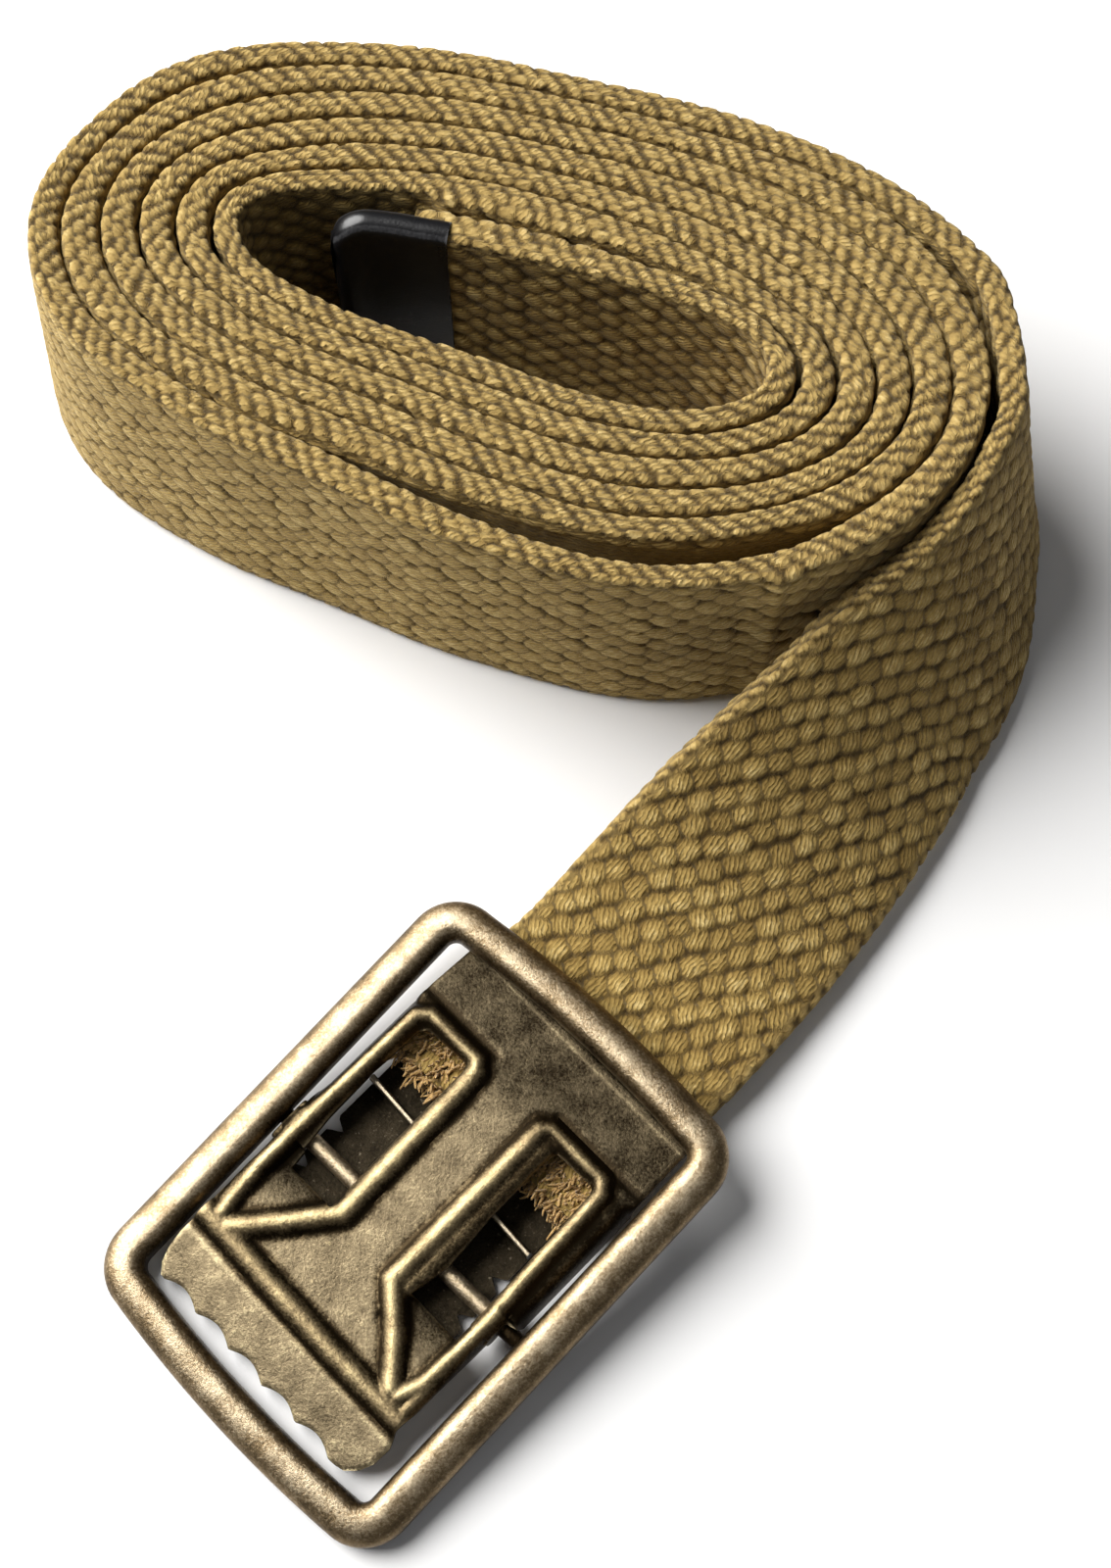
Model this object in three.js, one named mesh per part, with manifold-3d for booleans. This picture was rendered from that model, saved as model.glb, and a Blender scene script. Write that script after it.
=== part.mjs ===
import * as THREE from 'three';
import Module from 'manifold-3d';

// Cotton web belt coiled on its edge, with an open-frame buckle lying flat.
// Millimetres, +Z up. X runs along the coil, the buckle lies on the -Y side.

// Webbing
const WEB_WIDTH = 31.75;
const WEB_THICK = 2.6;
const WEB_CORNER = 0.7;
const WEB_END_ROUND = 4.5;
const END_INSET = 0.6;
const COIL_STEPS_PER_TURN = 58;
const STRAP_STEPS_PER_ROW = 3;
const JOIN_STATIONS = 3;

// Coil in plan: a spiral on a stretched, tilted circle, angles in degrees
const COIL_CENTRE = [-3.4, 145.6];
const COIL_TILT = -11;
const COIL_STRETCH = 1.72;
const COIL_START_ANGLE = 153;
const FIRST_TURN = -0.008;
const LAST_TURN = 6.36;

// Radius of the innermost turn and growth per turn, every 22.5 degrees
const INNER_RADIUS = [
  15.4, 10.7, 8.0, 7.6, 8.5, 10.4, 14.0, 19.4,
  17.3, 11.7, 8.6, 7.7, 8.1, 10.6, 15.2, 17.1,
];
const TURN_PITCH = [
  2.7, 3.43, 3.79, 3.69, 3.54, 3.77, 3.64, 2.49,
  2.7, 3.35, 3.22, 3.03, 3.48, 3.92, 3.19, 2.63,
];

// Where the winding is loose or pressed in: turn, half length in turns, shift outwards
const LOOSE_PLACES = [
  [5.71, 0.19, 2.9],
  [3.72, 0.2, 0.6],
  [4.72, 0.2, 0.6],
  [6.42, 0.12, 0.9],
  [-0.05, 0.5, -4.2],
  [4.55, 0.25, -0.7],
];

// How far the lower edge of the outer turns stands out at the left end
const LEFT_FLARE = 3.2;
const LEFT_FLARE_ANGLE = 194;
const FULL_FLARE_TURN = 6;

// Strap between coil and buckle: upper edge x, y, z, then lower edge x, y, z
const STRAP = [
  [51.1, 133.0, 31.5, 58.3, 132.0, 0.9],
  [48.3, 126.6, 30.8, 57.8, 124.5, 0.9],
  [44.7, 120.8, 29.9, 56.8, 117.3, 0.9],
  [40.3, 116.0, 28.4, 55.0, 110.5, 1.0],
  [35.3, 112.0, 26.6, 52.2, 104.3, 1.2],
  [30.0, 108.8, 24.6, 48.8, 98.5, 1.3],
  [25.2, 105.0, 22.2, 45.3, 92.6, 1.4],
  [20.5, 101.3, 19.6, 41.6, 86.8, 1.5],
  [15.7, 97.7, 16.6, 37.8, 81.3, 1.5],
  [11.0, 94.2, 13.4, 33.9, 75.8, 1.6],
  [6.4, 90.5, 10.1, 29.8, 70.5, 1.8],
  [1.9, 86.6, 7.0, 25.4, 65.4, 2.2],
  [-2.6, 82.2, 4.6, 20.8, 60.4, 2.6],
];

// Last stations inside the buckle: buckle x, shift across, height of mid line
const STRAP_END = [
  [27, -0.6, 2.75],
  [18, 0.0, 2.7],
  [8.3, 0.3, 2.7],
];

// Tip on the inner end
const TIP_LENGTH = 14;
const TIP_WALL = 0.6;
const TIP_GAP = 0.3;
const TIP_THINNING = 0.5;

// Buckle place: centre, turn about Z and rise towards the far bar
const BUCKLE_CENTRE = [-15.7, 46.9, 4.6];
const BUCKLE_TURN = 46.4;
const BUCKLE_RISE = 5.5;

// Frame ring: centre line half sizes, bow of the short bars, corner radius
const FRAME_HALF_X = 27.3;
const FRAME_HALF_Y = 20.2;
const FRAME_CENTRE_Y = -0.35;
const FRAME_BOW = 0.9;
const FRAME_TAPER = 0.35;
const FRAME_CORNER = 3.5;
const FRAME_SKEW = 0.0009;
const BAR_WIDTH = 4.6;
const BAR_TOP = 1.8;
const BAR_BOTTOM = -1.6;
const BAR_CHAMFER = 0.7;
const BAR_WIDEST = 0.1;

// Cross bar that the plate hinges on
const PIVOT_X = -2.2;
const PIVOT_Z = -1.4;
const PIVOT_RADIUS = 1.0;
const PIVOT_CLEARANCE = 0.15;

// Plate: outline, bends and scalloped lip
const PLATE_THICK = 0.8;
const PLATE_CENTRE_Y = 0.6;
const PLATE_TURN = -1.9;
const PLATE_HALF_WIDTH = 15.9;
const PLATE_TOP = 0.6;
const PLATE_FAR_X = 26.2;
const PLATE_BENDS = [
  [-24.4, 0.1],
  [-17.5, 0.6],
  [15.6, 0.6],
  [21.0, -1.3],
  [26.2, -1.81],
];
const LIP_X = -24.3;
const SCALLOP_COUNT = 5;
const SCALLOP_PITCH = 5.3;
const SCALLOP_DEPTH = 0.9;
const LIP_RIGHT_END = [
  [-24.2, -14.2],
  [-23.9, -15.3],
  [-22.8, -16.4],
  [-21.2, -17.1],
  [-18.9, -17.2],
  [-17.2, -16.4],
];

// Raised rails round the windows, half of them, mirrored to the other side
const RAIL_RADIUS = 1.25;
const RAIL_RISE = 1.0;
const RAIL_OUTER = 13.75;
const RAIL_INNER = 4.0;
const RAIL_FAR_X = 16.4;
const RAIL_NEAR_X = -16.2;
const RAIL_BEND_X = -5.2;

// Ears that carry the plate on the cross bar
const EAR_LENGTH = 5.4;
const EAR_OUT = 16.5;
const EAR_DROP = 3.4;

// Clip that holds the cut end of the webbing
const CLIP_THICK = 0.8;
const CLIP_HALF_WIDTH = 13.2;
const CLIP_PATH = [
  [23.5, -6.2],
  [7.0, -4.6],
  [1.2, -3.85],
  [-3.6, -3.4],
  [-7.5, -2.5],
  [-14.2, -1.5],
];
const CLIP_WALL = [
  [6.9, -4.6],
  [6.9, -1.0],
];

const wasm = await Module();
wasm.setup();

const rad = THREE.MathUtils.degToRad;

// Closed smooth curve through equally spaced values
function ring(table, angle) {
  const n = table.length;
  const place = (((angle % 360) + 360) % 360) / 360 * n;
  const i = Math.floor(place);
  const f = place - i;
  const [a, b, c, d] = [-1, 0, 1, 2].map((k) => table[(i + k + n) % n]);
  const bend = 2 * a - 5 * b + 4 * c - d;
  const twist = 3 * b - a - 3 * c + d;
  return 0.5 * (2 * b + (c - a) * f + bend * f * f + twist * f ** 3);
}

function looseness(turn) {
  let shift = 0;
  for (const [at, half, height] of LOOSE_PLACES) {
    const u = (turn - at) / half;
    if (Math.abs(u) < 1) shift += height * (0.5 + 0.5 * Math.cos(Math.PI * u));
  }
  return shift;
}

// Mid line of the coiled webbing in plan
function spiral(turn) {
  const angle = COIL_START_ANGLE - 360 * turn;
  const radius = ring(INNER_RADIUS, angle) + ring(TURN_PITCH, angle) * turn + looseness(turn);
  const x = COIL_STRETCH * radius * Math.cos(rad(angle));
  const y = radius * Math.sin(rad(angle));
  const c = Math.cos(rad(COIL_TILT));
  const s = Math.sin(rad(COIL_TILT));
  return new THREE.Vector2(COIL_CENTRE[0] + c * x - s * y, COIL_CENTRE[1] + s * x + c * y);
}

// Amount by which the lower edge stands outside the upper edge
function flare(turn) {
  const angle = COIL_START_ANGLE - 360 * turn;
  const left = Math.max(0, Math.cos(rad(angle - LEFT_FLARE_ANGLE)));
  return LEFT_FLARE * left * left * turn / FULL_FLARE_TURN;
}

// Upper and lower rail of the whole ribbon, from the inner end outwards
function ribbonRails() {
  const stations = [];
  const count = Math.round(LAST_TURN * COIL_STEPS_PER_TURN);
  for (let i = 0; i <= count; i++) {
    const turn = FIRST_TURN + (LAST_TURN - FIRST_TURN) * i / count;
    const p = spiral(turn);
    const ahead = spiral(turn + 0.002);
    const out = new THREE.Vector2(-(ahead.y - p.y), ahead.x - p.x).normalize();
    const foot = p.clone().addScaledVector(out, flare(turn));
    stations.push({
      upper: new THREE.Vector3(p.x, p.y, WEB_WIDTH),
      lower: new THREE.Vector3(foot.x, foot.y, 0),
    });
  }
  const upper = [];
  const lower = [];
  for (const s of stations.slice(-JOIN_STATIONS)) {
    upper.push(s.upper);
    lower.push(s.lower);
  }
  for (const [ux, uy, uz, lx, ly, lz] of STRAP) {
    upper.push(new THREE.Vector3(ux, uy, uz));
    lower.push(new THREE.Vector3(lx, ly, lz));
  }
  const place = buckleMatrix();
  for (const [x, across, height] of STRAP_END) {
    for (const [side, list] of [[1, upper], [-1, lower]]) {
      const p = new THREE.Vector3(x, across + side * WEB_WIDTH / 2, 0).applyMatrix4(place);
      p.z = height;
      list.push(p);
    }
  }
  const upperCurve = new THREE.CatmullRomCurve3(upper, false, 'centripetal');
  const lowerCurve = new THREE.CatmullRomCurve3(lower, false, 'centripetal');
  const steps = (upper.length - 1) * STRAP_STEPS_PER_ROW;
  const strapStations = [];
  for (let i = (JOIN_STATIONS - 1) * STRAP_STEPS_PER_ROW; i <= steps; i++) {
    const u = i / steps;
    strapStations.push({ upper: upperCurve.getPoint(u), lower: lowerCurve.getPoint(u) });
  }
  return [...stations.slice(0, -1), ...strapStations];
}

// Frame of each station: mid point, width direction and face normal
function ribbonStations() {
  const rails = ribbonRails();
  const mids = rails.map((r) => r.upper.clone().add(r.lower).multiplyScalar(0.5));
  let travelled = 0;
  return rails.map((r, i) => {
    if (i > 0) travelled += mids[i].distanceTo(mids[i - 1]);
    const ahead = mids[Math.min(i + 1, mids.length - 1)];
    const behind = mids[Math.max(i - 1, 0)];
    const along = ahead.clone().sub(behind).normalize();
    const wide = r.upper.clone().sub(r.lower);
    wide.addScaledVector(along, -wide.dot(along)).normalize();
    const face = new THREE.Vector3().crossVectors(wide, along).negate();
    return { mid: mids[i], along, wide, face, travelled };
  });
}

// Half width left after rounding the two corners of an end
function roundedHalf(half, radius, fromEnd) {
  if (fromEnd >= radius) return half;
  const d = radius - Math.max(fromEnd, 0);
  return half - radius + Math.sqrt(radius * radius - d * d);
}

// Eight-sided section across the ribbon
function sectionRing(station, halfWidth, halfThick, corner) {
  const spots = [
    [halfWidth, halfThick - corner],
    [halfWidth - corner, halfThick],
    [-halfWidth + corner, halfThick],
    [-halfWidth, halfThick - corner],
    [-halfWidth, -halfThick + corner],
    [-halfWidth + corner, -halfThick],
    [halfWidth - corner, -halfThick],
    [halfWidth, -halfThick + corner],
  ];
  return spots.map(([w, t]) => station.mid.clone()
    .addScaledVector(station.wide, w)
    .addScaledVector(station.face, t));
}

// Solid skin over a row of sections, closed to a ring or capped at both ends
function loft(rings, closed) {
  const m = rings[0].length;
  const n = rings.length;
  const positions = rings.flat().flatMap((p) => [p.x, p.y, p.z]);
  const index = [];
  const spans = closed ? n : n - 1;
  for (let i = 0; i < spans; i++) {
    const a = i * m;
    const b = ((i + 1) % n) * m;
    for (let j = 0; j < m; j++) {
      const k = (j + 1) % m;
      index.push(a + j, a + k, b + k, a + j, b + k, b + j);
    }
  }
  if (!closed) {
    for (let j = 1; j < m - 1; j++) {
      index.push(0, j + 1, j);
      index.push((n - 1) * m, (n - 1) * m + j, (n - 1) * m + j + 1);
    }
  }
  const geometry = new THREE.BufferGeometry();
  geometry.setAttribute('position', new THREE.Float32BufferAttribute(positions, 3));
  geometry.setIndex(index);
  return geometry;
}

// Positive volume means that the faces point outwards
function signedVolume(geometry) {
  const p = geometry.attributes.position;
  const index = geometry.index.array;
  const [a, b, c] = [new THREE.Vector3(), new THREE.Vector3(), new THREE.Vector3()];
  let sum = 0;
  for (let i = 0; i < index.length; i += 3) {
    a.fromBufferAttribute(p, index[i]);
    b.fromBufferAttribute(p, index[i + 1]);
    c.fromBufferAttribute(p, index[i + 2]);
    sum += a.dot(b.cross(c));
  }
  return sum / 6;
}

function outwards(geometry) {
  if (signedVolume(geometry) < 0) {
    const index = geometry.index.array;
    for (let i = 0; i < index.length; i += 3) {
      [index[i + 1], index[i + 2]] = [index[i + 2], index[i + 1]];
    }
  }
  return geometry;
}

function toSolid(source) {
  const geometry = source.clone();
  geometry.deleteAttribute('normal');
  geometry.deleteAttribute('uv');
  const merged = outwards(mergeByPosition(geometry));
  return new wasm.Manifold(new wasm.Mesh({
    numProp: 3,
    vertProperties: new Float32Array(merged.attributes.position.array),
    triVerts: new Uint32Array(merged.index.array),
  }));
}

// One vertex for each place
function mergeByPosition(geometry) {
  const p = geometry.attributes.position;
  const source = geometry.index ? geometry.index.array : [...Array(p.count).keys()];
  const seen = new Map();
  const positions = [];
  const index = [];
  for (const i of source) {
    const v = [p.getX(i), p.getY(i), p.getZ(i)];
    const key = v.map((x) => Math.round(x * 1e4)).join(' ');
    if (!seen.has(key)) {
      seen.set(key, positions.length / 3);
      positions.push(...v);
    }
    index.push(seen.get(key));
  }
  const kept = [];
  for (let i = 0; i < index.length; i += 3) {
    const [a, b, c] = index.slice(i, i + 3);
    if (a !== b && b !== c && a !== c) kept.push(a, b, c);
  }
  const merged = new THREE.BufferGeometry();
  merged.setAttribute('position', new THREE.Float32BufferAttribute(positions, 3));
  merged.setIndex(kept);
  return merged;
}

function fromSolid(solid) {
  const mesh = solid.getMesh();
  const geometry = new THREE.BufferGeometry();
  geometry.setAttribute('position', new THREE.Float32BufferAttribute(mesh.vertProperties, 3));
  geometry.setIndex([...mesh.triVerts]);
  return geometry;
}

function buckleMatrix() {
  const turn = new THREE.Matrix4().makeRotationZ(rad(BUCKLE_TURN));
  const rise = new THREE.Matrix4().makeRotationY(-rad(BUCKLE_RISE));
  return new THREE.Matrix4().makeTranslation(...BUCKLE_CENTRE).multiply(turn).multiply(rise);
}

// How much narrower the webbing is on each side, inside the tip
function squeeze(travelled) {
  const free = THREE.MathUtils.smoothstep(travelled, TIP_LENGTH, TIP_LENGTH + 2);
  return (TIP_WALL + TIP_GAP) * (1 - free);
}

function makeWebbing(stations) {
  const rings = stations.map((s) => {
    const half = WEB_WIDTH / 2 - squeeze(s.travelled);
    const thick = WEB_THICK / 2 - squeeze(s.travelled) * TIP_THINNING;
    return sectionRing(s, roundedHalf(half, WEB_END_ROUND, s.travelled + END_INSET), thick, WEB_CORNER);
  });
  return outwards(loft(rings, false));
}

// Folded metal cap over the inner end, open where the webbing leaves it
function makeTip(stations) {
  const first = stations[0];
  const near = stations.filter((s) => s.travelled < TIP_LENGTH + 6);
  const before = (distance) => ({
    ...first,
    mid: first.mid.clone().addScaledVector(first.along, -distance),
    travelled: -distance,
  });
  const shell = (lead, until, grow, radius) => {
    const ahead = [1, 0.6, 0.25].map((k) => before(lead * k));
    const covered = near.filter((s) => s.travelled < until);
    return toSolid(loft([...ahead, ...covered].map((s) => {
      const half = WEB_WIDTH / 2 - squeeze(0) + grow;
      const thick = WEB_THICK / 2 - squeeze(0) * TIP_THINNING + grow;
      const rounded = roundedHalf(half, radius, s.travelled + lead + END_INSET);
      return sectionRing(s, rounded, thick, WEB_CORNER);
    }), false));
  };
  const cover = TIP_GAP + TIP_WALL;
  const outer = shell(cover, TIP_LENGTH, cover, WEB_END_ROUND + cover);
  const inner = shell(TIP_GAP, TIP_LENGTH + 6, TIP_GAP, WEB_END_ROUND);
  return fromSolid(outer.subtract(inner));
}

// Centre line of the frame as plan points with outward normals
function frameLine() {
  const points = [];
  const corner = (cx, cy, from) => {
    for (let i = 0; i <= 6; i++) {
      const a = rad(from + 15 * i);
      points.push([cx + FRAME_CORNER * Math.cos(a), cy + FRAME_CORNER * Math.sin(a)]);
    }
  };
  const hx = FRAME_HALF_X - FRAME_CORNER;
  const hy = FRAME_HALF_Y - FRAME_CORNER;
  const bowed = (sign, y) => sign * (FRAME_HALF_X + FRAME_BOW * (1 - (y / hy) ** 2));
  corner(hx, hy + FRAME_TAPER / 2, 0);
  for (let i = 1; i < 8; i++) {
    const x = hx - 2 * hx * i / 8;
    points.push([x, FRAME_HALF_Y + FRAME_TAPER * x / hx / 2]);
  }
  corner(-hx, hy - FRAME_TAPER / 2, 90);
  for (let i = 1; i < 8; i++) {
    const y = hy - 2 * hy * i / 8;
    points.push([bowed(-1, y), y]);
  }
  corner(-hx, -hy + FRAME_TAPER / 2, 180);
  for (let i = 1; i < 8; i++) {
    const x = -hx + 2 * hx * i / 8;
    points.push([x, -FRAME_HALF_Y - FRAME_TAPER * x / hx / 2]);
  }
  corner(hx, -hy - FRAME_TAPER / 2, 270);
  for (let i = 1; i < 8; i++) {
    const y = -hy + 2 * hy * i / 8;
    points.push([bowed(1, y), y]);
  }
  return points.map(([x, y]) => [x < 0 ? x * (1 - FRAME_SKEW * y) : x, y + FRAME_CENTRE_Y]);
}

// Rounded bar bent to a ring, with the cross bar cast in
function makeFrame() {
  const line = frameLine();
  const n = line.length;
  const half = BAR_WIDTH / 2;
  const section = [
    [-half, BAR_BOTTOM + BAR_CHAMFER],
    [-half + BAR_CHAMFER, BAR_BOTTOM],
    [half - BAR_CHAMFER, BAR_BOTTOM],
    [half, BAR_BOTTOM + BAR_CHAMFER],
  ];
  for (let i = 0; i <= 8; i++) {
    const a = rad(180 * i / 8);
    section.push([half * Math.cos(a), BAR_WIDEST + (BAR_TOP - BAR_WIDEST) * Math.sin(a)]);
  }
  const rings = line.map(([x, y], i) => {
    const [ax, ay] = line[(i + 1) % n];
    const [bx, by] = line[(i + n - 1) % n];
    const length = Math.hypot(ax - bx, ay - by);
    const [ox, oy] = [(ay - by) / length, -(ax - bx) / length];
    return section.map(([o, z]) => new THREE.Vector3(x + ox * o, y + oy * o, z));
  });
  const bar = new THREE.CylinderGeometry(PIVOT_RADIUS, PIVOT_RADIUS, 2 * FRAME_HALF_Y, 20);
  bar.translate(PIVOT_X, FRAME_CENTRE_Y, PIVOT_Z);
  return fromSolid(toSolid(loft(rings, true)).add(toSolid(bar)));
}

function plateTop(x) {
  for (let i = 1; i < PLATE_BENDS.length; i++) {
    const [x0, z0] = PLATE_BENDS[i - 1];
    const [x1, z1] = PLATE_BENDS[i];
    if (x <= x1) return z0 + (z1 - z0) * Math.max(0, (x - x0) / (x1 - x0));
  }
  return PLATE_BENDS.at(-1)[1];
}

// Prism from a plan outline, between two heights
function prism(outline, low, high) {
  const shape = new THREE.Shape(outline.map(([x, y]) => new THREE.Vector2(x, y)));
  const geometry = new THREE.ExtrudeGeometry(shape, { depth: high - low, bevelEnabled: false });
  geometry.translate(0, 0, low);
  return toSolid(geometry);
}

// Prism from a profile in X and Z, across Y
function crossPrism(profile, from, to) {
  const shape = new THREE.Shape(profile.map(([x, z]) => new THREE.Vector2(x, z)));
  const geometry = new THREE.ExtrudeGeometry(shape, { depth: to - from, bevelEnabled: false });
  geometry.rotateX(Math.PI / 2);
  geometry.translate(0, to, 0);
  return toSolid(geometry);
}

// Outline of a bent strip of sheet, from the line along its middle
function stripProfile(path, thick) {
  const offset = (side) => path.map(([x, z], i) => {
    const [ax, az] = path[Math.min(i + 1, path.length - 1)];
    const [bx, bz] = path[Math.max(i - 1, 0)];
    const length = Math.hypot(ax - bx, az - bz);
    return [x - side * (az - bz) / length * thick / 2, z + side * (ax - bx) / length * thick / 2];
  });
  return [...offset(1), ...offset(-1).reverse()];
}

// Plan outline of the plate with its scalloped lip
function plateOutline() {
  const half = PLATE_HALF_WIDTH;
  const points = [
    [PLATE_FAR_X, half - 1],
    [PLATE_FAR_X - 1, half],
    [PIVOT_X + EAR_LENGTH, half],
    [PIVOT_X + EAR_LENGTH / 2, EAR_OUT],
    [PIVOT_X - EAR_LENGTH / 2, EAR_OUT],
    [PIVOT_X - EAR_LENGTH, half],
    [-19.4, half],
    [-21.6, half - 0.4],
    [-23.2, half - 1.1],
    [-24.2, half - 2.1],
  ];
  const first = SCALLOP_COUNT * SCALLOP_PITCH / 2;
  for (let i = 0; i < SCALLOP_COUNT; i++) {
    for (let j = 0; j < 6; j++) {
      const u = j / 6;
      points.push([LIP_X + SCALLOP_DEPTH * Math.sin(Math.PI * u), first - SCALLOP_PITCH * (i + u)]);
    }
  }
  points.push([LIP_X, -first], ...LIP_RIGHT_END);
  for (const [x, y] of points.slice(1, 7).reverse()) points.push([x, -y]);
  return points.map(([x, y]) => [x, y + PLATE_CENTRE_Y]);
}

// Round-topped ridge between two points of the plate
function ridge(ax, ay, bx, by) {
  const ball = (x, y) => wasm.Manifold.sphere(RAIL_RADIUS, 16)
    .translate([x, y, plateTop(x) + RAIL_RISE - RAIL_RADIUS]);
  return wasm.Manifold.hull([ball(ax, ay), ball(bx, by)]);
}

// Stamped plate: bent sheet, two windows, raised rails and hinge ears
function makePlate() {
  const profile = PLATE_BENDS.map(([x, z]) => [x, z - PLATE_THICK / 2]);
  const sheet = crossPrism(stripProfile(profile, PLATE_THICK), -25, 25);
  let plate = prism(plateOutline(), -6, 6).intersect(sheet);
  const floor = crossPrism([
    ...PLATE_BENDS.map(([x, z]) => [x, z - PLATE_THICK + 0.1]),
    [PLATE_FAR_X, 6],
    [LIP_X - 1, 6],
  ], -25, 25);
  let rails = ridge(RAIL_NEAR_X, PLATE_CENTRE_Y - RAIL_OUTER, RAIL_NEAR_X, PLATE_CENTRE_Y + RAIL_OUTER);
  for (const side of [1, -1]) {
    const y = (v) => PLATE_CENTRE_Y + side * v;
    const loop = [
      [RAIL_NEAR_X, y(RAIL_OUTER)],
      [RAIL_FAR_X - 1, y(RAIL_OUTER)],
      [RAIL_FAR_X, y(RAIL_OUTER - 1)],
      [RAIL_FAR_X, y(RAIL_INNER + 1)],
      [RAIL_FAR_X - 1, y(RAIL_INNER)],
      [RAIL_BEND_X, y(RAIL_INNER)],
      [RAIL_NEAR_X, y(RAIL_OUTER)],
    ];
    for (let i = 1; i < loop.length; i++) rails = rails.add(ridge(...loop[i - 1], ...loop[i]));
    const inset = RAIL_RADIUS * 0.9;
    const window = prism([
      [RAIL_NEAR_X + 4.2, y(RAIL_OUTER - inset)],
      [RAIL_FAR_X - inset, y(RAIL_OUTER - inset)],
      [RAIL_FAR_X - inset, y(RAIL_INNER + inset)],
      [RAIL_BEND_X + 0.6, y(RAIL_INNER + inset)],
    ], -6, 6);
    plate = plate.subtract(window);
  }
  plate = plate.add(rails.intersect(floor)).rotate([0, 0, PLATE_TURN]);
  for (const side of [1, -1]) {
    const y = (v) => PLATE_CENTRE_Y + side * v;
    const ear = crossPrism([
      [PIVOT_X + EAR_LENGTH / 2, PLATE_TOP - 0.3],
      [PIVOT_X - EAR_LENGTH / 2, PLATE_TOP - 0.3],
      [PIVOT_X - EAR_LENGTH / 2, -EAR_DROP + 1.6],
      [PIVOT_X - EAR_LENGTH / 2 + 1.3, -EAR_DROP],
      [PIVOT_X + EAR_LENGTH / 2 - 1.3, -EAR_DROP],
      [PIVOT_X + EAR_LENGTH / 2, -EAR_DROP + 1.6],
    ], y(EAR_OUT - PLATE_THICK / 2) - PLATE_THICK / 2, y(EAR_OUT - PLATE_THICK / 2) + PLATE_THICK / 2);
    plate = plate.add(ear);
  }
  const boreRadius = PIVOT_RADIUS + PIVOT_CLEARANCE;
  const bore = new THREE.CylinderGeometry(boreRadius, boreRadius, 60, 24);
  bore.translate(PIVOT_X, 0, PIVOT_Z);
  return fromSolid(plate.subtract(toSolid(bore)));
}

// Bent clip below the plate, with the upturned wall behind the cut end
function makeClip() {
  const from = PLATE_CENTRE_Y - CLIP_HALF_WIDTH;
  const to = PLATE_CENTRE_Y + CLIP_HALF_WIDTH;
  const leaf = crossPrism(stripProfile(CLIP_PATH, CLIP_THICK), from, to);
  const wall = crossPrism(stripProfile(CLIP_WALL, CLIP_THICK), from, to);
  return fromSolid(leaf.add(wall));
}

const stations = ribbonStations();
const atBuckle = buckleMatrix();
const parts = [
  ['webbing', makeWebbing(stations), 0xa5875a],
  ['belt_tip', makeTip(stations), 0x151515],
  ['buckle_frame', makeFrame().applyMatrix4(atBuckle), 0x8a7650],
  ['buckle_plate', makePlate().applyMatrix4(atBuckle), 0x82704c],
  ['webbing_clip', makeClip().applyMatrix4(atBuckle), 0x4a4030],
];

// The origin is the middle of the footprint, on the surface the belt rests on
const box = new THREE.Box3();
for (const [, geometry] of parts) {
  geometry.computeBoundingBox();
  box.union(geometry.boundingBox);
}
const centre = box.getCenter(new THREE.Vector3());

const belt = new THREE.Group();
belt.name = 'trouser_belt';
for (const [name, geometry, color] of parts) {
  geometry.translate(-centre.x, -centre.y, -box.min.z);
  const mesh = new THREE.Mesh(geometry, new THREE.MeshStandardMaterial({ color }));
  mesh.name = name;
  belt.add(mesh);
}

export default belt;
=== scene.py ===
import math

import bpy
import numpy as np
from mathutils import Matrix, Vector


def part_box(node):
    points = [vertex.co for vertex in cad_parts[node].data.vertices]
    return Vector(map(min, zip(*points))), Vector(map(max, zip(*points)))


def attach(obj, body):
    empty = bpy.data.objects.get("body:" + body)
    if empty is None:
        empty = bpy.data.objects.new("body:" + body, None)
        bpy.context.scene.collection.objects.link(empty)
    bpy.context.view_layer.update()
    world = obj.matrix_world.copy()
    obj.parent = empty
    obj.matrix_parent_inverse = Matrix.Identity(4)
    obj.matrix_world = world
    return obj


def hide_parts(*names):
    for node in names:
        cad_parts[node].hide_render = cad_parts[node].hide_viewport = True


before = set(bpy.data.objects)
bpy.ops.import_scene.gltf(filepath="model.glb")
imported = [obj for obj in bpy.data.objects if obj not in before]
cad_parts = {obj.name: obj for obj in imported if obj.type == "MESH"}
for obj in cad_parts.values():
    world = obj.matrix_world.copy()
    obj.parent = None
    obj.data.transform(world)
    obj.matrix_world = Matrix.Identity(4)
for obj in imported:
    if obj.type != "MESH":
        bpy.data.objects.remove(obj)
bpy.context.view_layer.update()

# Lengths are in millimetres, along the axes of the frame, and make_piece turns them into metres
MM = 0.001

# Corners of a rectangle, in order round it
CORNERS = ((-1, -1), (1, -1), (1, 1), (-1, 1))

# Camera fitted to the photo, in millimetres and in pixels of its 1134 x 1600 picture
LONG_SIDE_PIXELS = 1600
FOCAL_PIXELS = 2300
SENSOR = 36.0
CAMERA_PLACE = (2.04, -97.11, 250.01)
CAMERA_DOWN = 68.5

# Surroundings by height, from level to straight up, as (place, grey), and the floor
SKY_STOPS = ((0.5, 0.35), (0.62, 0.9), (0.8, 0.5), (1.0, 1.0))
SKY_BLUE = 1.01
SKY_STRENGTH = 0.14
FLOOR_HALF = 1500.0
FLOOR_COLOUR = (0.88, 0.88, 0.885)

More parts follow.
